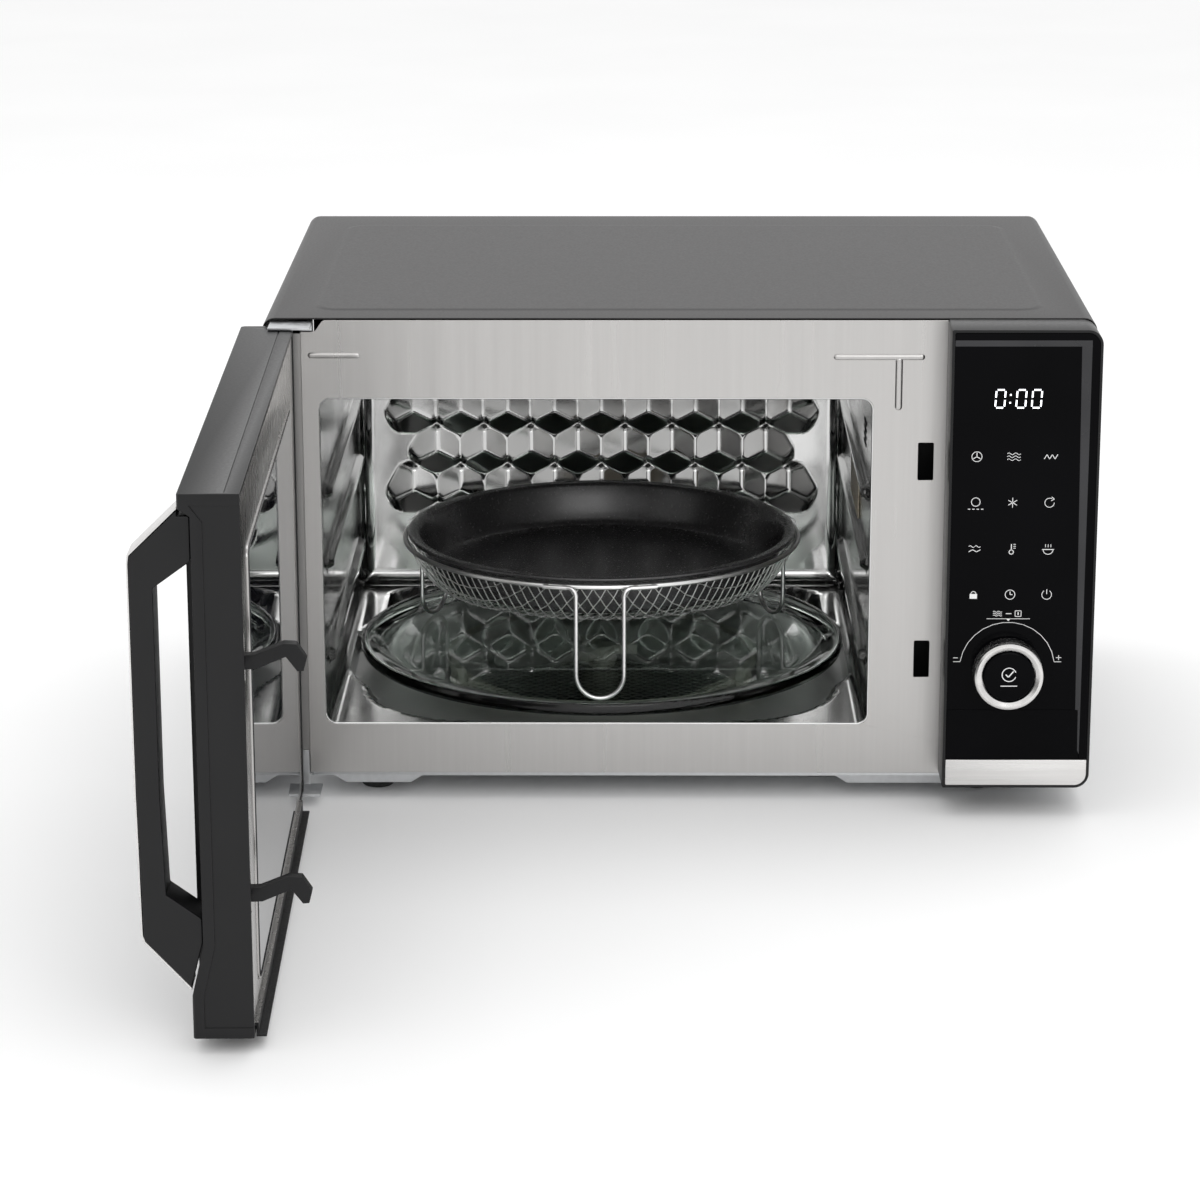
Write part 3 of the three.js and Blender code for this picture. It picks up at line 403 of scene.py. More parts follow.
def board_finish(name):
    """Green circuit board with copper tracks under the lacquer."""
    made = new_finish(name, (0.01, 0.07, 0.03), 0, 0.35)
    tracks = cells(made, 160, "DISTANCE_TO_EDGE")
    shaded(made, remap(made, tracks, 0, 1, 0.0, 0.12), (0.03, 0.16, 0.06), (0.008, 0.06, 0.025))
    bumped(made, (tracks, 0.05))
    return made


def copper_finish(name):
    """Varnished laminations and copper windings."""
    made = new_finish(name, (0.2, 0.09, 0.05), 0.8, 0.4)
    layers = noise(made, 60, 3, (1, 1, 22))
    shaded(made, layers, (0.05, 0.028, 0.02), (0.42, 0.17, 0.08))
    bumped(made, (layers, 0.15))
    return made


def mica_finish(name):
    """Pressed mica sheet with silvery flakes."""
    made = new_finish(name, (0.42, 0.36, 0.27), 0, 0.5)
    flakes = cells(made, 420)
    shaded(made, flakes, (0.33, 0.28, 0.2), (0.55, 0.5, 0.4))
    rough_by(made, flakes, 0.35, 0.65)
    return made


FINISHES = {}


def make_finishes(colours):
    """Makes every finish once, keyed by a plain name."""
    cross = (1, 1, 0.02)
    along = (0.02, 1, 1)
    FINISHES.update(
        coat=coat_finish("cover_coat", colours.coat),
        steel=brushed_finish("brushed_steel", colours.steel, cross, 0.26, 0.36, 0.0025, 0.025),
        inner_steel=brushed_finish(
            "door_steel", scaled(colours.steel, 0.85), cross, 0.24, 0.32, 0.0007, 0.03
        ),
        bright=bright_finish("cavity_steel", colours.bright_steel, 0.13, 0.2, 0.012),
        floor=bright_finish("cavity_floor_steel", colours.bright_steel, 0.4, 0.48, 0.0),
        stamped=bright_finish("stamped_steel", colours.bright_steel, 0.06, 0.12, 0.01),
        zinc=zinc_finish("zinc_steel", colours.zinc),
        plastic=plastic_finish("black_plastic", colours.plastic, 0.3, 0.36, gloss=0.28),
        dark_plastic=plastic_finish("inner_plastic", colours.plastic, 0.45, 0.55, gloss=0.25),
        gloss=polished_finish("gloss_black", colours.gloss),
        chamfer=polished_finish("panel_chamfer", scaled(colours.plastic, 5), 0.22, 0.3, 0.3),
        trim=brushed_finish("silver_trim", colours.trim, along, 0.24, 0.34),
        ring=brushed_finish("ring_metal", colours.trim, (1, 1, 1), 0.22, 0.3, 0.004),
        glass=glass_finish("clear_glass", colours.glass),
        door_glass=polished_finish("door_mirror_glass", scaled(colours.gloss, 6), 0.0, 0.015, 0.75),
        enamel=enamel_finish("pan_enamel", colours.enamel),
        chrome=bright_finish("chromed_wire", colours.chrome, 0.3, 0.4, 0.0),
        rubber=plastic_finish("foot_rubber", (0.02, 0.02, 0.02), 0.65, 0.85, 0.05),
        nylon=plastic_finish("white_plastic", (0.72, 0.7, 0.64), 0.35, 0.5),
        screen=perforated_finish("perforated_screen", (0.05, 0.05, 0.055), 0.0018),
        window=perforated_finish("window_print", scaled(colours.gloss, 5), 0.0018),
        lit=light_finish("lit_segments", (0.93, 0.95, 1.0), 1.6),
        print=plastic_finish("white_print", (0.8, 0.8, 0.8), 0.4, 0.5, 0.0),
        # hole: a near-black finish that paints the shade seen inside the lamp holes; it is not a colour of
        # the wall
        hole=plastic_finish("painted_hole_shade", (0.003, 0.003, 0.003), 0.8, 0.9, 0.0),
        board=board_finish("circuit_board"),
        copper=copper_finish("copper_windings"),
        mica=mica_finish("mica"),
    )


# ---------------------------------------------------------------- mesh tools, in millimetres
def arc(cx, cy, radius, start, end, steps):
    """Points on an arc, both ends included; angles in degrees."""
    angles = [math.radians(start + (end - start) * i / steps) for i in range(steps + 1)]
    return [(cx + radius * math.cos(a), cy + radius * math.sin(a)) for a in angles]


def rounded(u0, u1, v0, v1, radius, steps=8):
    """A rectangle with round corners; radius is one number, or four from low left round to high left."""
    a, b, c, d = radius if isinstance(radius, (list, tuple)) else (radius,) * 4
    return (
        arc(u0 + a, v0 + a, a, 180, 270, steps)
        + arc(u1 - b, v0 + b, b, 270, 360, steps)
        + arc(u1 - c, v1 - c, c, 0, 90, steps)
        + arc(u0 + d, v1 - d, d, 90, 180, steps)
    )


def eased(points, times=2, closed=True):
    """Rounds an outline's corners by cutting them."""
    for _ in range(times):
        pairs = zip(points, points[1:] + points[:1]) if closed else zip(points, points[1:])
        cut = []
        for (u0, v0), (u1, v1) in pairs:
            cut.append((0.75 * u0 + 0.25 * u1, 0.75 * v0 + 0.25 * v1))
            cut.append((0.25 * u0 + 0.75 * u1, 0.25 * v0 + 0.75 * v1))
        points = cut if closed else [points[0], *cut, points[-1]]
    return points


def smooth_step(value):
    value = min(max(value, 0.0), 1.0)
    return value * value * (3 - 2 * value)


def lift(axis, u, v, w):
    """A point drawn at u, v in the plane across an axis, at w along it."""
    return {"x": (w, u, v), "y": (u, w, v), "z": (u, v, w)}[axis]


def add_faces(bm, verts, faces):
    made = [bm.verts.new(v) for v in verts]
    for face in faces:
        bm.faces.new([made[i] for i in face])
    return made


def slab(bm, loops, low, high, axis="y"):
    """A flat plate between two depths: its outline first, then the outlines of its holes."""
    edges = []
    for loop in loops:
        ring = [bm.verts.new(lift(axis, u, v, low)) for u, v in loop]
        edges += [bm.edges.new((ring[i], ring[(i + 1) % len(ring)])) for i in range(len(ring))]
    before = set(bm.faces)
    bmesh.ops.triangle_fill(bm, use_beauty=True, use_dissolve=False, edges=edges)
    faces = [face for face in bm.faces if face not in before]
    made = bmesh.ops.extrude_face_region(bm, geom=faces)
    moved = [item for item in made["geom"] if isinstance(item, bmesh.types.BMVert)]
    bmesh.ops.translate(bm, verts=moved, vec=lift(axis, 0, 0, high - low))


def block(bm, x0, x1, y0, y1, z0, z1):
    """A rectangular bar between six planes."""
    slab(bm, [[(x0, z0), (x1, z0), (x1, z1), (x0, z1)]], y0, y1)


def lathe(bm, outline, centre, sides, axis="z"):
    """Turns an outline of (radius, height) round an axis through centre; it ends on the axis, or closes."""
    rings = []
    for radius, height in outline:
        if radius < 1e-6:
            rings.append([bm.verts.new(lift(axis, *centre, height))])
            continue
        turn = [2 * math.pi * i / sides for i in range(sides)]
        rings.append(
            [
                bm.verts.new(
                    lift(axis, centre[0] + radius * math.cos(a), centre[1] + radius * math.sin(a), height)
                )
                for a in turn
            ]
        )
    pairs = list(zip(rings, rings[1:]))
    if outline[0][0] > 1e-6:
        pairs.append((rings[-1], rings[0]))
    for low, high in pairs:
        for i in range(sides):
            j = (i + 1) % sides
            corners = [low[i % len(low)], low[j % len(low)], high[j % len(high)], high[i % len(high)]]
            bm.faces.new(list(dict.fromkeys(corners)))


def tube(bm, path, radius, sides=8, closed=False):
    """A round wire along points."""
    points = [Vector(p) for p in path]
    count = len(points)
    normal = None
    rings = []
    for i, point in enumerate(points):
        after = points[(i + 1) % count] if closed else points[min(i + 1, count - 1)]
        before = points[i - 1] if closed else points[max(i - 1, 0)]
        along = (after - before).normalized()
        if normal is None:
            normal = along.orthogonal().normalized()
        normal = (normal - along * normal.dot(along)).normalized()
        side = along.cross(normal)
        turn = [2 * math.pi * k / sides for k in range(sides)]
        around = [point + radius * (math.cos(a) * normal + math.sin(a) * side) for a in turn]
        rings.append([bm.verts.new(spot) for spot in around])
    pairs = list(zip(rings, rings[1:]))
    if closed:
        pairs.append((rings[-1], rings[0]))
    for low, high in pairs:
        for k in range(sides):
            m = (k + 1) % sides
            bm.faces.new((low[k], low[m], high[m], high[k]))
    if not closed:
        bm.faces.new(list(reversed(rings[0])))
        bm.faces.new(rings[-1])


def sheet(bm, columns, rows, place):
    """A grid of faces over place(column, row)."""
    verts = [[bm.verts.new(place(c, r)) for r in rows] for c in columns]
    for i in range(len(columns) - 1):
        for j in range(len(rows) - 1):
            bm.faces.new((verts[i][j], verts[i + 1][j], verts[i + 1][j + 1], verts[i][j + 1]))


def steps_between(low, high, step):
    count = max(1, round(abs(high - low) / step))
    return [low + (high - low) * i / count for i in range(count + 1)]


def body_of(node):
    return frame["nodes"][node]["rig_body"]


def finish_piece(obj, body, slot, replaced, finishes, bevel=0.0, segments=2, sharp=35, move=None):
    """Puts a piece in place, smooths its shading, rounds its edges and ties it to its body."""
    obj.matrix_world = OPENED if body in DOOR_BODIES else CLOSED
    if move is not None:
        obj.matrix_world = obj.matrix_world @ move
    for finish in finishes:
        obj.data.materials.append(FINISHES[finish])
    obj.data.shade_smooth()
    if bevel:
        rounding = obj.modifiers.new("rounded edges", "BEVEL")
        rounding.width = bevel * MM
        rounding.segments = segments
        rounding.limit_method = "ANGLE"
        rounding.angle_limit = math.radians(sharp)
        rounding.harden_normals = True
    else:
        obj.data.set_sharp_from_angle(angle=math.radians(sharp))
    if replaced:
        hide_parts(*replaced)
    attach(obj, body)
    return obj


def make_piece(name, bm, body, slot, replaced, finishes, outward=True, weld=1e-4, **options):
    """Turns a bmesh in millimetres into a piece of the oven."""
    if weld:
        bmesh.ops.remove_doubles(bm, verts=bm.verts[:], dist=weld)
    if outward:
        bmesh.ops.recalc_face_normals(bm, faces=bm.faces[:])
    bmesh.ops.scale(bm, vec=(MM, MM, MM), verts=bm.verts[:])
    mesh = bpy.data.meshes.new(name)
    bm.to_mesh(mesh)
    bm.free()
    obj = bpy.data.objects.new(name, mesh)
    bpy.context.scene.collection.objects.link(obj)
    return finish_piece(obj, body, slot, replaced, finishes, **options)


def softened(node, finish, bevel, segments=2, sharp=35):
    """A CAD piece with its flat facets joined and its edges rounded."""
    source = frame["nodes"][node]
    body = body_of(node)
    bm = bmesh.new()
    bm.from_mesh(source.data)
    bmesh.ops.remove_doubles(bm, verts=bm.verts[:], dist=1e-6)
    bmesh.ops.dissolve_limit(bm, angle_limit=0.01, verts=bm.verts[:], edges=bm.edges[:])
    place = OPENED if body in DOOR_BODIES else CLOSED
    bm.transform(place.inverted())
    mesh = bpy.data.meshes.new(node + "_moulded")
    bm.to_mesh(mesh)
    bm.free()
    obj = bpy.data.objects.new(mesh.name, mesh)
    bpy.context.scene.collection.objects.link(obj)
    return finish_piece(obj, body, slot_of(node), [node], [finish], bevel, segments, sharp)


def dress(node, finish):
    """Gives a CAD node its finish; its shape stays as it is."""
    obj = frame["nodes"][node]
    obj.data.materials.clear()
    obj.data.materials.append(FINISHES[finish])


def slot_of(node):
    return next(part["material_slot"] for part in frame["record"]["subparts"] if part["node"] == node)


def screw_head(bm, x, y, z, radius, axis, out):
    """A plain pan head whose face looks along an axis; out is +1 or -1."""
    profile = [(0, 0), (radius, 0), (radius, 0.35 * out), (radius * 0.8, 0.8 * out), (0, 1.0 * out)]
    centre = {"x": (y, z), "y": (x, z), "z": (x, y)}[axis]
    base = {"x": x, "y": y, "z": z}[axis]
    lathe(bm, [(r, base + h) for r, h in profile], centre, 20, axis)


# ---------------------------------------------------------------- cabinet
def build_cover(sizes):
    """The wrapped cover: two walls with round shoulders, a raised field on top and side vents."""
    half, top, shoulder, bottom = 250, 303, 8, 16
    front, relief, back, relief_top, plate_left = 0.6, 4.9, 346, 299.2, -226
    bm = bmesh.new()

    def front_edge(x, z):
        return relief if x < plate_left and z < relief_top else front

    def strip(profile):
        for (x0, z0), (x1, z1) in zip(profile, profile[1:]):
            edge = max(front_edge(x0, z0), front_edge(x1, z1))
            add_faces(bm, [(x0, edge, z0), (x1, edge, z1), (x1, back, z1), (x0, back, z0)], [(0, 1, 2, 3)])

    steps = 10
    strip([(-half, bottom), (-half, top - shoulder)])
    strip(arc(shoulder - half, top - shoulder, shoulder, 180, 90, steps))
    strip(arc(half - shoulder, top - shoulder, shoulder, 90, 0, steps))

    wall = [[(front, bottom), (back, bottom), (back, top - shoulder), (front, top - shoulder)]]
    for i in range(9):
        wall.append(rounded(236 + 9 * i, 240 + 9 * i, 60, 110, 1.9, 4))
    edges = []
    for loop in wall:
        ring = [bm.verts.new((half, y, z)) for y, z in loop]
        edges += [bm.edges.new((ring[i], ring[(i + 1) % len(ring)])) for i in range(len(ring))]
    bmesh.ops.triangle_fill(bm, use_beauty=True, edges=edges)

    slope, height = sizes.emboss_slope / MM, sizes.emboss_height / MM
    loops = []
    for share in (0, 0.25, 0.5, 0.75, 1):
        inset = slope * share
        outline = rounded(inset - 222, 222 - inset, 22 + inset, 312 - inset, 16 - inset, 8)
        loops.append([bm.verts.new((x, y, top + height * smooth_step(share))) for x, y in outline])
    flat = half - shoulder
    corners = [(-flat, front), (flat, front), (flat, back), (-flat, back)]
    ring = [bm.verts.new((x, y, top)) for x, y in corners]
    edges = [bm.edges.new((ring[i], ring[(i + 1) % 4])) for i in range(4)]
    edges += [bm.edges.new((loops[0][i], loops[0][(i + 1) % len(loops[0])])) for i in range(len(loops[0]))]
    bmesh.ops.triangle_fill(bm, use_beauty=True, edges=edges)
    for outer, inner in zip(loops, loops[1:]):
        for i in range(len(outer)):
            j = (i + 1) % len(outer)
            bm.faces.new((outer[i], outer[j], inner[j], inner[i]))
    bm.faces.new(loops[-1])
    bmesh.ops.remove_doubles(bm, verts=bm.verts[:], dist=0.01)
    bmesh.ops.recalc_face_normals(bm, faces=bm.faces[:])
    if sum(face.normal.z * face.calc_area() for face in bm.faces) < 0:
        bmesh.ops.reverse_faces(bm, faces=bm.faces[:])
    obj = make_piece(
        "cover_shell", bm, "cabinet", "cover_coat", ["outer_cover"], ["coat"], outward=False, sharp=40
    )
    skin = obj.modifiers.new("sheet", "SOLIDIFY")
    skin.thickness = MM
    skin.offset = -1
    obj.modifiers.new("flat faces stay flat", "WEIGHTED_NORMAL").keep_sharp = True


def pressed_bead(bm, x0, x1, z0, z1, width, rise):
    """A half-round bead pressed out of the front plate, with round ends."""
    count, across = 14, 8
    half = width / 2
    length = math.hypot(x1 - x0, z1 - z0)
    ux, uz = (x1 - x0) / length, (z1 - z0) / length
    stations = [-half * math.cos(QUARTER * i / 5) for i in range(6)]
    stations += [length * i / count for i in range(1, count)]
    stations += [length + half * math.sin(QUARTER * i / 5) for i in range(6)]
    rows = []
    for s in stations:
        beyond = max(-s, s - length, 0)
        reach = math.sqrt(max(half * half - beyond * beyond, 0.0001))
        row = []
        for k in range(across + 1):
            side = reach * math.cos(math.pi * k / across)
            up = rise * (reach / half) * math.sin(math.pi * k / across)
            row.append(bm.verts.new((x0 + ux * s - uz * side, -up, z0 + uz * s + ux * side)))
        rows.append(row)
    for low, high in zip(rows, rows[1:]):
        for k in range(across):
            bm.faces.new((low[k], low[k + 1], high[k + 1], high[k]))


def build_front_plate(_sizes):
    """The brushed front plate with its mouth, latch slots, folded edges and pressed beads."""
    left, right, bottom, top, shoulder = -227, 246, 17, 301.7, 8
    bm = bmesh.new()
    outline = [(left, bottom), (right, bottom), (right, top - shoulder), (right - shoulder, top)]
    outline += [(-212.4, top), (-214, top - 0.8), (-218, top - 6.2), (-220.4, top - 7), (left, top - 7)]
    holes = [rounded(-217, 117, 48.3, 254.1, 7, 10)]
    for low in (78.9, 78.9 + 124.4):
        holes.append(rounded(144.5, 153.8, low, low + 23.2, 0.8, 3))
    holes.append(rounded(170, 236, 60, 250, 2, 2))
    slab(bm, [outline, *holes], 0, 1)
    block(bm, left, left + 1, 0.2, 6, bottom, top - 7)
    block(bm, -248.5, left + 1, 5, 6, bottom, top - 9)
    block(bm, -212.4, right - shoulder, 0.2, 12, top - 1, top)
    make_piece("front_plate_sheet", bm, "cabinet", "front_steel", ["front_plate"], ["steel"], bevel=0.3)

    bm = bmesh.new()
    pressed_bead(bm, -221, -193.2, 280.2, 280.2, 3.6, 1.1)
    pressed_bead(bm, 94.5, 145.6, 279.3, 279.3, 3.6, 1.1)
    pressed_bead(bm, 132, 132, 248.8, 277, 4.4, 1.1)
    make_piece("front_plate_beads", bm, "cabinet", "front_steel", [], ["steel"], sharp=60, outward=False)

    bm = bmesh.new()
    rim = rounded(-216.7, 116.7, 48.6, 253.8, 7, 10)
    tube(bm, [(x, 0.35, z) for x, z in rim], 0.6, 6, closed=True)
    make_piece("mouth_rolled_edge", bm, "cabinet", "front_steel", [], ["bright"])


def build_shell_details(_sizes):
    """Base pan, back panel with its screws, feet and the cord gland."""
    softened("base_pan", "zinc", 0.3)
    softened("back_panel", "zinc", 0.25)
    softened("hinge_bracket_top", "zinc", 0.3)
    softened("hinge_bracket_bottom", "zinc", 0.3)

    bm = bmesh.new()
    spots = [(x, z) for z in (24, 295) for x in (-236, -80, 80, 236)] + [(x, 160) for x in (-240, 240)]
    for x, z in spots:
        screw_head(bm, x, 345.5, z, 3.4, "y", 1)
    make_piece("back_panel_screws", bm, "cabinet", "zinc_steel", [], ["bright"])

    for node in ("foot_front_left", "foot_front_right", "foot_rear_left", "foot_rear_right"):
        low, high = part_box(node)
        x = ((low.x + high.x) / 2 - ORIGIN.x) / MM
        y = ((low.y + high.y) / 2 - ORIGIN.y) / MM
        outline = [(0, 0.8), (5, 0.8), (5.6, 0), (9.2, 0), (10.1, 0.9), (10.2, 2.6), (9.7, 3), (9.7, 3.5)]
        outline += [(10.3, 3.9), (10.75, 8.9), (10.3, 9.7), (0, 9.7)]
        bm = bmesh.new()
        lathe(bm, outline, (x, y), 48)
        make_piece(node + "_rubber", bm, "cabinet", "foot_rubber", [node], ["rubber"], sharp=50)

    bm = bmesh.new()
    tube_end = [(4, 338), (8, 338), (8, 345.8)]
    flange = [(10.6, 345.8), (11, 346.3), (11, 348.6), (9.6, 349.4), (5.2, 349.4), (4, 348.4)]
    lathe(bm, [*tube_end, *flange], (206, 52), 40, "y")
    make_piece("cord_gland_ring", bm, "cabinet", "black_plastic", ["cord_gland"], ["dark_plastic"])


# ---------------------------------------------------------------- cavity
def wall_bead(y, z):
    """How far a side wall stands into the cavity at a point."""
    front, back, half, slope, point, depth = 30, 316, 2.6, 2.8, 9, 4.4
    rise = 0.0
    for middle in (81, 141, 186):
        beyond = max(front + point - y, y - back + point, 0)
        away = abs(z - middle) + beyond * (half + slope) / point
        rise = max(rise, depth * min(max((half + slope - away) / slope, 0.0), 1.0))
    return rise


def well_depth(x, y):
    """How far the floor drops into the turntable's well at a point."""
    left, right, front, back, slope, depth, bulge = -194, 98, 14, 316, 3, 10, 165
    corner = 24 if y > SPIN_Y else 70
    dx = max(left + corner - x, x - right + corner, 0)
    dy = max(front + corner - y, y - back + corner, 0)
    inside = corner - math.hypot(dx, dy)
    inside = max(inside, bulge - math.hypot(x - SPIN_X, y - SPIN_Y))
    return depth * smooth_step((inside + slope) / (2 * slope))


def build_cavity(_sizes):
    """The bright liner: walls with three beads each, a floor well and round corners."""
    left, right, floor, ceiling, radius, front, back = -217, 117, 47, 255, 8, 1.3, 330.2
    step = 2.6
    rows = steps_between(front, back, step)
    profile = arc(left + radius, floor + radius, radius, 180, 270, 6)
    profile += [(x, floor) for x in steps_between(left + radius, right - radius, step)[1:-1]]
    profile += arc(right - radius, floor + radius, radius, 270, 360, 6)
    profile += [(right, z) for z in steps_between(floor + radius, ceiling - radius, 1.6)[1:-1]]
    profile += arc(right - radius, ceiling - radius, radius, 0, 90, 6)
    profile += [(x, ceiling) for x in steps_between(right - radius, left + radius, 60)[1:-1]]
    profile += arc(left + radius, ceiling - radius, radius, 90, 180, 6)
    profile += [(left, z) for z in steps_between(ceiling - radius, floor + radius, 1.6)[1:-1]]
    profile.append(profile[0])

    def place(point, y):
        x, z = point
        if x <= left:
            x += wall_bead(y, z)
        elif x >= right:
            x -= wall_bead(y, z)
        elif z <= floor:
            z -= well_depth(x, y)
        return x, y, z

    bm = bmesh.new()
    sheet(bm, profile, rows, place)
    obj = make_piece(
        "cavity_walls",
        bm,
        "cabinet",
        "cavity_steel",
        ["cavity_liner"],
        ["bright", "floor"],
        outward=False,
        weld=0.01,
    )
    for face in obj.data.polygons:
        face.material_index = int(face.center.z < (floor - 9) * MM)
    skin = obj.modifiers.new("sheet", "SOLIDIFY")
    skin.thickness = 0.8 * MM
    skin.offset = -1

    # The lamp holes are thin near-black discs on the right wall: painted shade stands where the holes are.
    bm = bmesh.new()
    for i in range(5):
        for j in range(4):
            spot = [(0, 116.9), (1.3, 116.9), (1.3, 116.6), (0, 116.6)]
            lathe(bm, spot, (64 + 4.4 * i, 209.5 + 4.4 * j), 10, "x")
    make_piece("lamp_holes_painted_shade", bm, "cabinet", "cavity_steel", [], ["hole"])
    softened("waveguide_cover", "mica", 0.2)


def soft_least(a, b, blend):
    """The smaller of two heights, rounded where they meet."""
    mix = min(max(0.5 + 0.5 * (b - a) / blend, 0.0), 1.0)
    return b + (a - b) * mix - blend * mix * (1 - mix)


def pyramid(dx, dz, height, radius):
    """One stamped cell: three faces that meet in ridges up, down left and down right, in a round outline."""
    away = math.hypot(dx, dz)
    if away > radius:
        return 0.0
    faces = [math.radians(angle) for angle in (270, 30, 150)]
    reach = max(dx * math.cos(a) + dz * math.sin(a) for a in faces)
    cone = height * (1 - reach / 17.0)
    return max(soft_least(cone, radius - away, 1.2), 0.0)


def build_back_wall(sizes):
    """The rear wall of the cavity, stamped with staggered pyramids."""
    pitch, across, count, radius, middle, low = 32.5, 9, 6, 19.4, -49.7, 87
    fillet = 10
    lift_z = pitch * math.cos(math.pi / 6)
    height = sizes.pyramid_height / MM
    centres = []
    for row in range(count):
        number = across - ((row + 1) % 2)
        for i in range(number):
            centres.append((middle + (i - (number - 1) / 2) * pitch, low + row * lift_z))

    def place(x, z):
        near = [(x - cx, z - cz) for cx, cz in centres if abs(x - cx) < radius and abs(z - cz) < radius]
        rise = max((pyramid(dx, dz, height, radius) for dx, dz in near), default=0.0)
        edge = min(x + 217, 117 - x, z - 47, 255 - z, fillet)
        inward = fillet - math.sqrt(max(fillet * fillet - (fillet - max(edge, 0)) ** 2, 0))
        return x, 330.3 - max(rise, inward), z

    step = sizes.wall_step / MM
    bm = bmesh.new()
    sheet(bm, steps_between(-218, 118, step), steps_between(46, 256, step), place)
    obj = make_piece(
        "stamped_back_wall",
        bm,
        "cabinet",
        "cavity_steel",
        ["cavity_back_wall"],
        ["stamped"],
        outward=False,
        sharp=75,
    )
    obj.modifiers.new("pressing", "SMOOTH").iterations = 1
    skin = obj.modifiers.new("sheet", "SOLIDIFY")
    skin.thickness = 0.8 * MM
    skin.offset = 1


def build_ceiling(sizes):
    """The perforated cover under the fan and the heater, with the parts above it."""
    low, top, radius = 247.6, 254.7, 148
    bm = bmesh.new()
    holes = []
    for ring, number in ((48, 18), (60, 24), (72, 30), (84, 36), (96, 40)):
        for i in range(number):
            angle = 2 * math.pi * i / number
            spot = arc(SPIN_X + ring * math.cos(angle), SPIN_Y + ring * math.sin(angle), 3, 0, 315, 7)
            holes.append(spot)
    inner = arc(SPIN_X, SPIN_Y, radius - 14, 0, 360 - 360 / sizes.lathe_sides, sizes.lathe_sides - 1)
    slab(bm, [inner, *holes], low, low + 0.8, "z")
    rim = [(radius - 14, low), (radius - 11, low + 0.2), (radius - 7, low + 2), (radius - 5.4, top - 1)]
    rim += [(radius, top - 1), (radius, top), (radius - 6.4, top)]
    rim += [(radius - 8, low + 2.8), (radius - 14, low + 0.8)]
    lathe(bm, rim, (SPIN_X, SPIN_Y), sizes.lathe_sides)
    make_piece("ceiling_grille", bm, "cabinet", "cavity_steel", ["ceiling_cover"], ["bright"], sharp=50)
    for node in ("hot_air_housing", "heater_element", "hot_air_motor"):
        dress(node, "zinc")
    softened("hot_air_fan", "zinc", 0.2)


# ---------------------------------------------------------------- what turns on the cavity floor
def build_turntable(sizes):
    """The glass plate, and under it the coupler, the roller ring and its wheels."""
    sides = sizes.lathe_sides
    under, top, rim, radius, flat = 49.3, 53.3, 59.3, 157.5, 134.7
    outside = [(flat - 3, under), (flat + 7, under + 0.8), (radius - 2, under + 1.7), (radius, under + 3.6)]
    edge = [(radius, rim - 0.9), (radius - 1.6, rim), (radius - 3.4, rim - 0.1)]
    inside = [(flat + 9, top + 1.6), (flat + 1, top), (flat - 8, top)]
    lower = eased([*outside, *edge, *inside], 2, closed=False)
    bm = bmesh.new()
    lathe(bm, [(0, under), *lower, (0, top)], (SPIN_X, SPIN_Y), sides)
    make_piece("turntable_glass", bm, "glass_plate", "clear_glass", ["glass_turntable"], ["glass"], sharp=80)

    softened("drive_coupler", "nylon", 0.4)
    bm = bmesh.new()
    lathe(bm, [(96, 41.4), (101, 41.4), (101, 44.6), (96, 44.6)], (SPIN_X, SPIN_Y), sides)
    for node in ("roller_wheel_1", "roller_wheel_2", "roller_wheel_3"):
        low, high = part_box(node)
        wheel = Vector(((low.x + high.x) / 2, (low.y + high.y) / 2)) / MM
        hub = Vector((ORIGIN.x / MM + SPIN_X, ORIGIN.y / MM + SPIN_Y))
        way = (wheel - hub).normalized()
        start = Vector((SPIN_X, SPIN_Y)) + way * 99
        end = Vector((SPIN_X, SPIN_Y)) + way * 109.8
        tube(bm, [(start.x, start.y, 43), (end.x, end.y, 43)], 1.6, 12)
        softened(node, "nylon", 0.5)
    make_piece("roller_ring_moulding", bm, "rollers", "white_plastic", ["roller_ring"], ["nylon"], bevel=0.5)
    softened("turntable_motor", "zinc", 0.3)


def bowl_height(radius):
    """Height of the basket's mesh at a distance from its middle."""
    floor, foot, rim, rim_radius = 100.0, 110.0, 125.4, 127.3
    share = max(0.0, (radius - foot) / (rim_radius - foot))
    return floor + (rim - floor) * share**1.35


def build_basket(sizes):
    """The chromed basket: woven mesh pressed into a bowl, a rim wire and three welded loop legs."""
    pitch, wire, reach = sizes.weave_pitch / MM, sizes.weave_wire / MM, 127.0
    cosine, sine = math.cos(math.pi / 4), math.sin(math.pi / 4)
    count = int(reach / pitch)
    bm = bmesh.new()
    for across in (False, True):
        for i in range(-count, count + 1):
            offset = i * pitch
            half = math.sqrt(max(reach * reach - offset * offset, 0))
            if half < 2 * pitch:
                continue
            first = math.ceil(-half / (pitch / 2))
            last = math.floor(half / (pitch / 2))
            stations = [-half] + [k * pitch / 2 for k in range(first, last + 1)] + [half]
            path = []
            for s in stations:
                u, v = (s, offset) if not across else (offset, s)
                crimp = 0.45 * wire * math.cos(math.pi * s / pitch) * (-1) ** i
                x, y = u * cosine - v * sine, u * sine + v * cosine
                height = bowl_height(math.hypot(x, y)) + (-crimp if across else crimp)
                path.append((SPIN_X + x, SPIN_Y + y, height))
            tube(bm, path, wire / 2, 5)
    make_piece(
        "basket_weave", bm, "basket", "chromed_wire", ["fry_basket"], ["chrome"], weld=0, outward=False
    )

    bm = bmesh.new()
    rim = arc(SPIN_X, SPIN_Y, 127.7, 0, 360 - 360 / sizes.lathe_sides, sizes.lathe_sides - 1)
    tube(bm, [(x, y, 126) for x, y in rim], 1.6, 10, closed=True)
    make_piece("basket_rim", bm, "basket", "chromed_wire", [], ["chrome"], weld=0, outward=False)
    for i, degrees in enumerate((270, 30, 150)):
        build_leg(i + 1, math.radians(degrees))


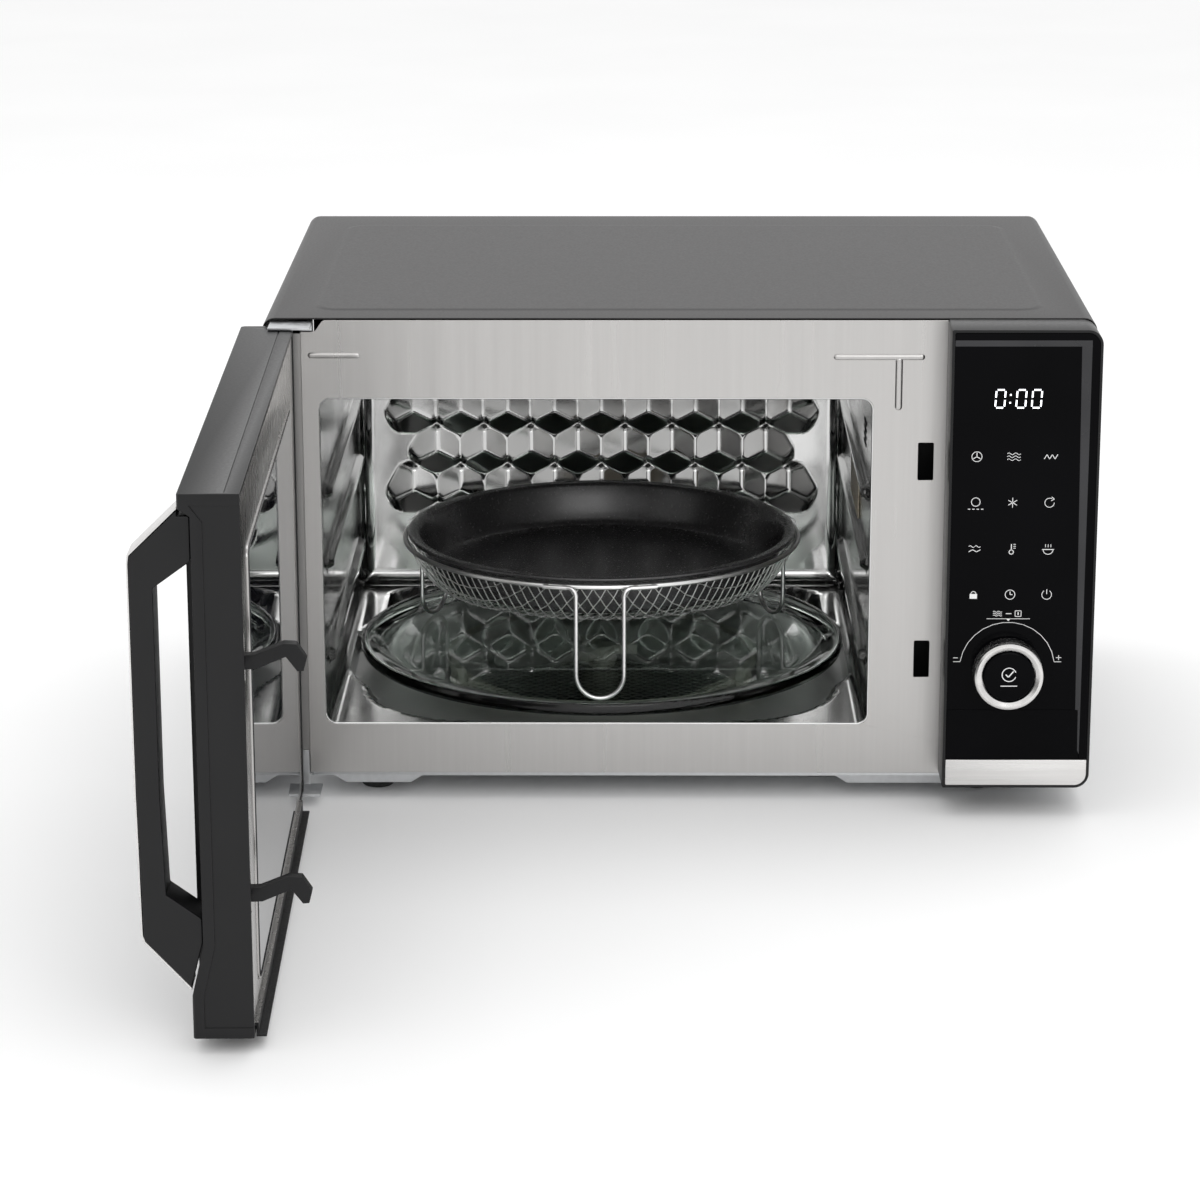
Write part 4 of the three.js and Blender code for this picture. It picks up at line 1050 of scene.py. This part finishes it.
def build_leg(number, angle):
    """One leg: a long loop of wire whose upper ends turn out along the rim and are welded to it."""
    radius, spread, arm, rim, lowest, thick = 130.6, 14.9, 21, 126, 55, 1.4
    turn = Matrix.Translation((SPIN_X, SPIN_Y, 0)) @ Matrix.Rotation(angle, 4, "Z")

    def on_rim(side):
        return Vector((radius * math.cos(side / radius), radius * math.sin(side / radius), rim))

    half = [on_rim(spread + arm - 2.4 * i) for i in range(8)]
    half += [Vector((radius, spread + 2.2, rim - 0.6)), Vector((radius, spread + 0.7, rim - 2))]
    half += [Vector((radius, spread, rim - 4.6)), Vector((radius, spread, (rim + lowest) / 2))]
    bend = arc(0, lowest + spread, spread, 0, -90, 8)
    half += [Vector((radius, y, z)) for y, z in bend]
    mirrored = [Vector((p.x, -p.y, p.z)) for p in reversed(half[:-1])]
    bm = bmesh.new()
    tube(bm, [turn @ p for p in half + mirrored], thick, 12)
    for side in (-1, 1):
        for share in (0.35, 0.9):
            spot = turn @ on_rim(side * (spread + arm * share))
            along = (turn @ on_rim(side * (spread + arm * share + 1.6)) - spot).normalized()
            inward = (Vector((SPIN_X, SPIN_Y, rim)) - spot).normalized() * 1.5
            tube(bm, [spot + inward - along * 1.5, spot + inward + along * 1.5], 1.9, 10)
    name = f"basket_leg_{number}"
    make_piece(
        name + "_wire", bm, "basket", "chromed_wire", [name], ["chrome"], weld=0, outward=False, sharp=60
    )


def build_pan(sizes):
    """The coated pan with its rolled rim."""
    floor, rim = 102.5, 131.4
    under = [(100, floor), (108, floor + 0.6), (112.5, floor + 5), (118.6, rim - 4.4), (120.4, rim - 3)]
    over = [(125.2, rim - 2.8), (126.35, rim - 1.6), (125.8, rim - 0.2), (123, rim), (120.4, rim - 0.2)]
    inside = [(118.2, rim - 2), (111.2, floor + 6), (107.4, floor + 1.9), (100, floor + 1.3)]
    outline = eased([*under, *over, *inside], 2, closed=False)
    bm = bmesh.new()
    lathe(bm, [(0, floor), *outline, (0, floor + 1.3)], (SPIN_X, SPIN_Y), sizes.lathe_sides)
    make_piece("pan_body", bm, "pan", "pan_enamel", ["crisper_pan"], ["enamel"], sharp=80)


# ---------------------------------------------------------------- door
def build_door(_sizes):
    """The door: moulded frame, outer glass, inner plate, screen, spring, inner pane and its bead."""
    softened("door_frame", "plastic", 0.5, 3)
    inner = softened("door_inner_frame", "inner_steel", 0.25)
    inner.data.materials.append(FINISHES["dark_plastic"])
    for face in inner.data.polygons:
        face.material_index = int(face.center.z < 11.8 * MM)
    softened("door_screen", "screen", 0.1)
    softened("latch_spring", "zinc", 0.0)

    bm = bmesh.new()
    slab(bm, [rounded(-200, 118, 25, 259, 6, 8)], -1.9, -0.7)
    make_piece(
        "inner_glass_pane", bm, "door", "clear_glass", ["door_inner_glass"], ["door_glass"], bevel=0.35
    )
    bm = bmesh.new()
    tube(bm, [(x, -2.05, z) for x, z in rounded(-200.9, 118.9, 24.1, 259.9, 6.6, 8)], 0.75, 8, closed=True)
    make_piece("inner_glass_bead", bm, "door", "front_steel", [], ["inner_steel"])

    bm = bmesh.new()
    slab(bm, [rounded(-246.3, 116, 12.3, 295.2, 2.5, 5)], -32.8, -29.8)
    make_piece("outer_glass_pane", bm, "door", "gloss_black", ["door_glass"], ["gloss"], bevel=0.4)
    bm = bmesh.new()
    slab(bm, [rounded(-192, 106, 42, 252, 10, 8)], -32.86, -32.8)
    make_piece("window_dots", bm, "door", "gloss_black", [], ["window"])


def build_handle(_sizes):
    """The bail handle, the silver edge along its front and the sprung latch bar."""
    softened("door_handle", "plastic", 1.1, 4)
    softened("handle_trim", "trim", 0.25, 2)
    softened("latch_bar", "dark_plastic", 0.7, 3)


# ---------------------------------------------------------------- control panel
PANEL_FACE = -32.8


def build_panel(_sizes):
    """The control panel: frame, polished face, sloped border, lower apron and silver strip."""
    softened("control_panel_frame", "plastic", 0.5, 3)
    softened("control_trim_strip", "trim", 0.3, 2)
    left, right, low, high, corner, back = 162.65, 248.15, 36.8, 300.65, 7.4, -30.1
    face, deep = PANEL_FACE + 0.05, PANEL_FACE + 0.9
    edge_x, edge_z, apron_top = 243.4, 296.4, 68.0

    bm = bmesh.new()
    slab(bm, [rounded(left, edge_x, apron_top, edge_z, 0.3, 2), arc(198.4, 93, 8, 0, 345, 23)], deep, back)
    make_piece("panel_polished_face", bm, "cabinet", "gloss_black", ["control_glass"], ["gloss"])

    bm = bmesh.new()
    border = [(edge_x, low), (right, low), *arc(right - corner, high - corner, corner, 0, 90, 8)]
    border += [(left, high), (left, edge_z), (edge_x, edge_z)]
    slab(bm, [border], face, back)
    make_piece("panel_border", bm, "cabinet", "gloss_black", [], ["gloss"], bevel=0.15)

    bm = bmesh.new()
    foot, brow = deep - 0.02, face + 0.03
    side = [(237.4, foot, 292.6), (240.8, foot, 46), (edge_x, brow, 40), (edge_x, brow, edge_z)]
    top = [(left, foot, 292.6), (237.4, foot, 292.6), (edge_x, brow, edge_z), (left, brow, edge_z)]
    for corners in (side, top):
        behind = [(x, y + 0.6, z) for x, y, z in corners]
        sides = [(i, (i + 1) % 4, (i + 1) % 4 + 4, i + 4) for i in range(4)]
        add_faces(bm, corners + behind, [(0, 1, 2, 3), (7, 6, 5, 4), *sides])
    make_piece("panel_slopes", bm, "cabinet", "gloss_black", [], ["chamfer"], weld=0, sharp=20)

    bm = bmesh.new()
    slab(bm, [[(left, low), (edge_x, low), (edge_x, apron_top), (left, apron_top)]], face + 0.35, back)
    make_piece("panel_apron", bm, "cabinet", "gloss_black", [], ["gloss"], bevel=0.25)


def build_dial(sizes):
    """The dial: a brushed ring that turns and a polished button that is pressed."""
    x, z, face, radius, button = 198.4, 93, -47, 21, 15.8
    sides = sizes.lathe_sides
    ring = [(4.2, -22), (6.4, -22), (6.4, -33.6), (radius - 0.6, -33.6), (radius, -34.2)]
    ring += [(radius, face + 2.2), (radius - 0.5, face + 0.9), (radius - 1.6, face + 0.1)]
    ring += [(button + 2.6, face), (button + 1.2, face + 0.9), (button + 0.5, face + 1.4)]
    ring += [(button + 0.5, -37), (4.2, -37)]
    bm = bmesh.new()
    lathe(bm, ring, (x, z), sides, "y")
    make_piece("dial_ring_turned", bm, "dial", "silver_trim", ["dial_ring"], ["ring"], sharp=28)
    bm = bmesh.new()
    cap = [(0, face + 0.7), (button - 2, face + 0.75), (button - 0.7, face + 1.0), (button - 0.1, face + 1.8)]
    cap += [(button - 0.1, -40), (3.8, -40), (3.8, -19.6), (0, -19.6)]
    lathe(bm, cap, (x, z), sides, "y")
    make_piece("dial_button_cap", bm, "dial_push", "gloss_black", ["dial_button"], ["gloss"], sharp=50)
    bm = bmesh.new()
    marks = Marks(bm, face + 0.66)
    marks.ring(x, z + 1.5, 4.2, 0.55, 20, 340)
    marks.stroke([(x - 2, z + 1.6), (x - 0.4, z), (x + 2.6, z + 3.6)], 0.7)
    marks.stroke([(x - 5, z - 5.6), (x + 5, z - 5.6)], 0.5)
    make_piece("dial_button_mark", bm, "dial_push", "gloss_black", [], ["print"])


class Marks:
    """Flat printed marks that stand a hair proud of a face across Y."""

    def __init__(self, bm, face, thickness=0.05):
        self.bm = bm
        self.face = face
        self.back = face + thickness

    def patch(self, outline):
        slab(self.bm, [outline], self.face, self.back)

    def stroke(self, points, width):
        """A line of even width through points."""
        for (u0, v0), (u1, v1) in zip(points, points[1:]):
            length = math.hypot(u1 - u0, v1 - v0)
            nu, nv = (v0 - v1) / length * width / 2, (u1 - u0) / length * width / 2
            self.patch([(u0 + nu, v0 + nv), (u0 - nu, v0 - nv), (u1 - nu, v1 - nv), (u1 + nu, v1 + nv)])

    def ring(self, u, v, radius, width, start=0, end=360):
        """Part of a ring, angles in degrees."""
        steps = max(6, int(abs(end - start) / 12))
        self.stroke(arc(u, v, radius, start, end, steps), width)

    def wave(self, u, v, width, height, turns=2):
        count = 8 * turns
        span = [(i / count - 0.5) for i in range(count + 1)]
        self.stroke([(u + width * s, v + height / 2 * math.sin(2 * math.pi * turns * s)) for s in span], 0.35)


SEGMENTS = {
    "top": [(0.12, 1), (0.88, 1)],
    "bottom": [(0.12, 0), (0.88, 0)],
    "high_left": [(0, 0.93), (0, 0.57)],
    "high_right": [(1, 0.93), (1, 0.57)],
    "low_left": [(0, 0.43), (0, 0.07)],
    "low_right": [(1, 0.43), (1, 0.07)],
}


def build_display(_sizes):
    """The lit clock digits on the polished face."""
    softened("display_module", "dark_plastic", 0.3)
    face = PANEL_FACE + 0.86
    low, high, width, slant = 255.6, 266.4, 5.4, 0.06
    bm = bmesh.new()
    marks = Marks(bm, face)
    for left in (187.0, 199.4, 208.6):
        for (u0, v0), (u1, v1) in SEGMENTS.values():
            points = []
            for u, v in ((u0, v0), (u1, v1)):
                z = low + (high - low) * v
                points.append((left + width * u + slant * (z - low), z))
            marks.stroke(points, 0.95)
    for z in (258.6, 263.4):
        marks.stroke([(195.6 + slant * (z - low), z - 0.5), (195.6 + slant * (z - low), z + 0.5)], 1.0)
    make_piece("clock_digits", bm, "cabinet", "gloss_black", [], ["lit"])


def mark_grid(marks):
    """Twelve generic pictograms, one for each touch field, as (column, row) drawings."""
    columns, rows = (177, 199, 221), (225.7, 197.5, 169, 140.5)

    def spot(column, row):
        return columns[column], rows[row]

    u, v = spot(0, 0)
    marks.ring(u, v, 3, 0.4)
    for i in range(3):
        a = math.radians(90 + 120 * i)
        marks.stroke([(u, v), (u + 2.4 * math.cos(a), v + 2.4 * math.sin(a))], 0.5)
    u, v = spot(1, 0)
    for dv in (-1.8, 0, 1.8):
        marks.wave(u, v + dv, 8, 1.1)
    u, v = spot(2, 0)
    zigzag = [(-4, -1.4), (-2.4, 1.4), (-0.8, -1.4), (0.8, 1.4), (2.4, -1.4), (4, 1.4)]
    marks.stroke([(u + du, v + dv) for du, dv in zigzag], 0.45)
    u, v = spot(0, 1)
    marks.ring(u, v + 0.4, 2.6, 0.4)
    for i in range(4):
        marks.stroke([(u - 4.6 + 2.6 * i, v - 4), (u - 3.2 + 2.6 * i, v - 4)], 0.45)
    u, v = spot(1, 1)
    for i in range(3):
        a = math.radians(30 + 60 * i)
        du, dv = 3 * math.cos(a), 3 * math.sin(a)
        marks.stroke([(u - du, v - dv), (u + du, v + dv)], 0.4)
    u, v = spot(2, 1)
    marks.ring(u, v, 2.8, 0.4, 60, 360)
    marks.stroke([(u + 1.2, v + 3.6), (u + 2.9, v + 2.2), (u + 0.9, v + 1.2)], 0.4)
    u, v = spot(0, 2)
    marks.wave(u, v + 1.4, 7, 1.1)
    marks.stroke([(u - 3.5, v - 1.9), (u - 1.2, v - 0.6), (u + 1.2, v - 1.9), (u + 3.5, v - 0.6)], 0.4)
    u, v = spot(1, 2)
    marks.stroke([(u, v - 0.8), (u, v + 3)], 0.5)
    marks.ring(u, v - 2, 1.3, 0.5)
    for dv in (0.4, 1.6, 2.8):
        marks.stroke([(u + 1.2, v + dv), (u + 2.6, v + dv)], 0.35)
    u, v = spot(2, 2)
    marks.ring(u, v - 0.4, 3, 0.4, 180, 360)
    marks.stroke([(u - 3.6, v - 0.4), (u + 3.6, v - 0.4)], 0.45)
    for du in (-1.6, 0, 1.6):
        marks.stroke([(u + du, v + 1), (u + du, v + 2.8)], 0.35)
    u, v = spot(0, 3)
    marks.patch([(u - 2.2, v - 2.6), (u + 2.2, v - 2.6), (u + 2.2, v + 0.4), (u - 2.2, v + 0.4)])
    marks.ring(u, v + 0.4, 1.5, 0.45, 0, 180)
    u, v = spot(1, 3)
    marks.ring(u, v, 2.9, 0.4)
    marks.stroke([(u, v + 2), (u, v), (u + 1.5, v)], 0.4)
    u, v = spot(2, 3)
    marks.ring(u, v, 2.9, 0.4, 125, 415)
    marks.stroke([(u, v + 0.4), (u, v + 3.4)], 0.45)


def build_marks(_sizes):
    """White printing on the panel: pictograms, the dial's arc, and its minus and plus signs."""
    bm = bmesh.new()
    marks = Marks(bm, PANEL_FACE + 0.86)
    mark_grid(marks)
    x, z = 198.4, 93
    marks.ring(x, z + 1.6, 28.6, 0.32, 8, 172)
    marks.stroke([(x + 28.3, z + 5.4), (x + 32.6, z + 5.4)], 0.32)
    marks.stroke([(x - 28.3, z + 5.4), (x - 32.6, z + 5.4)], 0.32)
    marks.stroke([(x - 32.6, z + 7.8), (x - 29.8, z + 7.8)], 0.4)
    marks.stroke([(x + 29.4, z + 8), (x + 32.6, z + 8)], 0.4)
    marks.stroke([(x + 31, z + 6.5), (x + 31, z + 9.5)], 0.4)
    marks.stroke([(x - 13, z + 32.4), (x + 13, z + 32.4)], 0.32)
    marks.patch([(x - 1.3, z + 32.3), (x, z + 30.9), (x + 1.3, z + 32.3)])
    for dv in (-1.2, 0, 1.2):
        marks.wave(x - 6.6, z + 35.6 + dv, 5.4, 0.7)
    marks.stroke([(x - 1.6, z + 35.6), (x + 1.8, z + 35.6)], 0.5)
    frame_corners = [(4, 33.9), (7.6, 33.9), (7.6, 37.4), (4, 37.4), (4, 33.9)]
    marks.stroke([(x + dx, z + dz) for dx, dz in frame_corners], 0.4)
    marks.stroke([(x + 5.8, z + 34.8), (x + 5.8, z + 36.5)], 0.7)
    make_piece("panel_printing", bm, "cabinet", "gloss_black", [], ["print"])


# ---------------------------------------------------------------- works behind the panel
def build_works(_sizes):
    """The electrical compartment and the parts inside the door."""
    for node in ("waveguide", "cooling_fan_motor", "dial_encoder", "magnetron", "capacitor"):
        dress(node, "zinc")
    dress("transformer", "copper")
    dress("control_board", "board")
    dress("oven_lamp", "glass")
    for node in ("latch_board", "door_switch_lower", "door_switch_upper"):
        dress(node, "dark_plastic")
    softened("fan_shroud", "dark_plastic", 0.3)
    softened("cooling_fan", "dark_plastic", 0.2)


# ---------------------------------------------------------------- stage, light and camera
def area_light(name, place, target, width, height, power):
    data = bpy.data.lights.new(name, "AREA")
    data.shape = "RECTANGLE"
    data.size = width
    data.size_y = height
    data.energy = power
    light = bpy.data.objects.new(name, data)
    light.location = place
    light.rotation_euler = (Vector(target) - Vector(place)).to_track_quat("-Z", "Y").to_euler()
    bpy.context.scene.collection.objects.link(light)


def build_stage():
    """A plain pale floor, a white surround and soft boxes."""
    bm = bmesh.new()
    size = 6.0
    add_faces(bm, [(-size, -size, 0), (size, -size, 0), (size, size, 0), (-size, size, 0)], [(0, 1, 2, 3)])
    mesh = bpy.data.meshes.new("floor")
    bm.to_mesh(mesh)
    bm.free()
    floor = bpy.data.objects.new("floor", mesh)
    bpy.context.scene.collection.objects.link(floor)
    pale = new_finish("pale_floor", (0.93, 0.93, 0.93), 0, 0.7)
    shaded(pale, noise(pale, 3), (0.92, 0.92, 0.92), (0.94, 0.94, 0.94))
    floor.data.materials.append(pale)

    world = bpy.data.worlds.new("white_surround")
    world.use_nodes = True
    world.node_tree.nodes["Background"].inputs["Color"].default_value = (1, 1, 1, 1)
    world.node_tree.nodes["Background"].inputs["Strength"].default_value = 1.0
    bpy.context.scene.world = world
    bpy.context.scene.view_settings.view_transform = "Standard"
    area_light("top_box", (0, 0.4, 2.2), (0, 0.1, 0.2), 2.2, 1.6, 14)
    area_light("front_box", (0.5, -2.4, 1.5), (0, -0.3, 0), 1.6, 1.2, 12)


CAMERA_PLACE = Vector((-0.02632, -2.23108, 0.76214))
PITCH, YAW, ROLL = (math.radians(angle) for angle in (-15.87, 0.548, -0.097))
FOCAL_LENGTH, SENSOR_WIDTH = 114.0, 36


def build_camera():
    """The camera stands before the open door, a little left of the middle, and looks down."""
    pitch, yaw, roll = PITCH, YAW, ROLL
    data = bpy.data.cameras.new("camera")
    data.lens = FOCAL_LENGTH
    data.sensor_width = SENSOR_WIDTH
    camera = bpy.data.objects.new("camera", data)
    ahead = Vector((-math.sin(yaw) * math.cos(pitch), math.cos(yaw) * math.cos(pitch), math.sin(pitch)))
    flat = Vector((math.cos(yaw), math.sin(yaw), 0))
    upward = flat.cross(ahead)
    right = math.cos(roll) * flat + math.sin(roll) * upward
    up = math.cos(roll) * upward - math.sin(roll) * flat
    rows = [(right[i], up[i], -ahead[i]) for i in range(3)]
    camera.matrix_world = Matrix.Translation(ORIGIN + CAMERA_PLACE) @ Matrix(rows).to_4x4()
    bpy.context.scene.collection.objects.link(camera)
    bpy.context.scene.camera = camera


# ---------------------------------------------------------------- the add-on's operators
class OVEN_OT_finishes(Operator):
    """Makes the procedural finishes"""

    bl_idname = "oven.finishes"
    bl_label = "Finishes"
    bl_options = {"REGISTER", "UNDO"}

    def execute(self, context):
        make_finishes(context.scene.oven_colours)
        return {"FINISHED"}


class OVEN_OT_stage(Operator):
    """Lays the floor and sets the light"""

    bl_idname = "oven.stage"
    bl_label = "Stage"
    bl_options = {"REGISTER", "UNDO"}

    def execute(self, context):
        build_stage()
        return {"FINISHED"}


class OVEN_OT_camera(Operator):
    """Stands the camera in front of the open door"""

    bl_idname = "oven.camera"
    bl_label = "Camera"
    bl_options = {"REGISTER", "UNDO"}

    def execute(self, context):
        build_camera()
        return {"FINISHED"}


class OVEN_OT_cover(Operator):
    """Wraps the coated cover over the cabinet, with its raised field and side vents"""

    bl_idname = "oven.cover"
    bl_label = "Cover"
    bl_options = {"REGISTER", "UNDO"}

    def execute(self, context):
        build_cover(context.scene.oven_sizes)
        return {"FINISHED"}


class OVEN_OT_front_plate(Operator):
    """Makes the brushed front plate with its mouth, latch slots and pressed beads"""

    bl_idname = "oven.front_plate"
    bl_label = "Front plate"
    bl_options = {"REGISTER", "UNDO"}

    def execute(self, context):
        build_front_plate(context.scene.oven_sizes)
        return {"FINISHED"}


class OVEN_OT_shell_details(Operator):
    """Makes the base pan, back panel, screws, feet, hinge brackets and cord gland"""

    bl_idname = "oven.shell_details"
    bl_label = "Base, back and feet"
    bl_options = {"REGISTER", "UNDO"}

    def execute(self, context):
        build_shell_details(context.scene.oven_sizes)
        return {"FINISHED"}


class OVEN_OT_cavity(Operator):
    """Makes the bright liner with its beads and floor well"""

    bl_idname = "oven.cavity"
    bl_label = "Cavity"
    bl_options = {"REGISTER", "UNDO"}

    def execute(self, context):
        build_cavity(context.scene.oven_sizes)
        return {"FINISHED"}


class OVEN_OT_back_wall(Operator):
    """Stamps the pyramids into the cavity's rear wall"""

    bl_idname = "oven.back_wall"
    bl_label = "Rear wall"
    bl_options = {"REGISTER", "UNDO"}

    def execute(self, context):
        build_back_wall(context.scene.oven_sizes)
        return {"FINISHED"}


class OVEN_OT_ceiling(Operator):
    """Makes the round grille under the hot-air fan"""

    bl_idname = "oven.ceiling"
    bl_label = "Ceiling grille"
    bl_options = {"REGISTER", "UNDO"}

    def execute(self, context):
        build_ceiling(context.scene.oven_sizes)
        return {"FINISHED"}


class OVEN_OT_turntable(Operator):
    """Makes the glass plate, its coupler and the roller ring"""

    bl_idname = "oven.turntable"
    bl_label = "Turntable"
    bl_options = {"REGISTER", "UNDO"}

    def execute(self, context):
        build_turntable(context.scene.oven_sizes)
        return {"FINISHED"}


class OVEN_OT_basket(Operator):
    """Weaves the chromed basket and bends its rim and legs"""

    bl_idname = "oven.basket"
    bl_label = "Basket"
    bl_options = {"REGISTER", "UNDO"}

    def execute(self, context):
        build_basket(context.scene.oven_sizes)
        return {"FINISHED"}


class OVEN_OT_pan(Operator):
    """Turns the coated pan with its rolled rim"""

    bl_idname = "oven.pan"
    bl_label = "Pan"
    bl_options = {"REGISTER", "UNDO"}

    def execute(self, context):
        build_pan(context.scene.oven_sizes)
        return {"FINISHED"}


class OVEN_OT_door(Operator):
    """Makes the door's frame, plates and panes"""

    bl_idname = "oven.door"
    bl_label = "Door"
    bl_options = {"REGISTER", "UNDO"}

    def execute(self, context):
        build_door(context.scene.oven_sizes)
        return {"FINISHED"}


class OVEN_OT_handle(Operator):
    """Makes the bail handle, its silver edge and the latch hooks"""

    bl_idname = "oven.handle"
    bl_label = "Handle and latch"
    bl_options = {"REGISTER", "UNDO"}

    def execute(self, context):
        build_handle(context.scene.oven_sizes)
        return {"FINISHED"}


class OVEN_OT_panel(Operator):
    """Makes the control panel's frame, face, slopes and strip"""

    bl_idname = "oven.panel"
    bl_label = "Control panel"
    bl_options = {"REGISTER", "UNDO"}

    def execute(self, context):
        build_panel(context.scene.oven_sizes)
        return {"FINISHED"}


class OVEN_OT_dial(Operator):
    """Turns the dial's ring and its push button"""

    bl_idname = "oven.dial"
    bl_label = "Dial"
    bl_options = {"REGISTER", "UNDO"}

    def execute(self, context):
        build_dial(context.scene.oven_sizes)
        return {"FINISHED"}


class OVEN_OT_display(Operator):
    """Lights the clock's digits"""

    bl_idname = "oven.display"
    bl_label = "Display"
    bl_options = {"REGISTER", "UNDO"}

    def execute(self, context):
        build_display(context.scene.oven_sizes)
        return {"FINISHED"}


class OVEN_OT_marks(Operator):
    """Prints the generic pictograms on the panel"""

    bl_idname = "oven.marks"
    bl_label = "Printing"
    bl_options = {"REGISTER", "UNDO"}

    def execute(self, context):
        build_marks(context.scene.oven_sizes)
        return {"FINISHED"}


class OVEN_OT_works(Operator):
    """Dresses the magnetron, transformer, fan and the other hidden parts"""

    bl_idname = "oven.works"
    bl_label = "Works"
    bl_options = {"REGISTER", "UNDO"}

    def execute(self, context):
        build_works(context.scene.oven_sizes)
        return {"FINISHED"}


STEPS = (
    OVEN_OT_camera,
    OVEN_OT_finishes,
    OVEN_OT_stage,
    OVEN_OT_cover,
    OVEN_OT_front_plate,
    OVEN_OT_shell_details,
    OVEN_OT_cavity,
    OVEN_OT_back_wall,
    OVEN_OT_ceiling,
    OVEN_OT_turntable,
    OVEN_OT_basket,
    OVEN_OT_pan,
    OVEN_OT_door,
    OVEN_OT_handle,
    OVEN_OT_panel,
    OVEN_OT_dial,
    OVEN_OT_display,
    OVEN_OT_marks,
    OVEN_OT_works,
)


class OVEN_PT_builder(Panel):
    """Lists the sizes, the colours and the steps of the build"""

    bl_idname = "OVEN_PT_builder"
    bl_label = "Microwave Oven"
    bl_space_type = "VIEW_3D"
    bl_region_type = "UI"
    bl_category = "Oven"

    def draw(self, context):
        layout = self.layout
        for group in (context.scene.oven_sizes, context.scene.oven_colours):
            column = layout.column(align=True)
            for name in group.__annotations__:
                column.prop(group, name)
        column = layout.column(align=True)
        for step in STEPS:
            column.operator(step.bl_idname)


CLASSES = (OvenSizes, OvenColours, *STEPS, OVEN_PT_builder)


def register():
    for cls in CLASSES:
        bpy.utils.register_class(cls)
    bpy.types.Scene.oven_sizes = PointerProperty(type=OvenSizes)
    bpy.types.Scene.oven_colours = PointerProperty(type=OvenColours)


def unregister():
    del bpy.types.Scene.oven_colours
    del bpy.types.Scene.oven_sizes
    for cls in reversed(CLASSES):
        bpy.utils.unregister_class(cls)


def main():
    register()
    for step in STEPS:
        family, name = step.bl_idname.split(".")
        getattr(getattr(bpy.ops, family), name)()


if __name__ == "__main__":
    main()
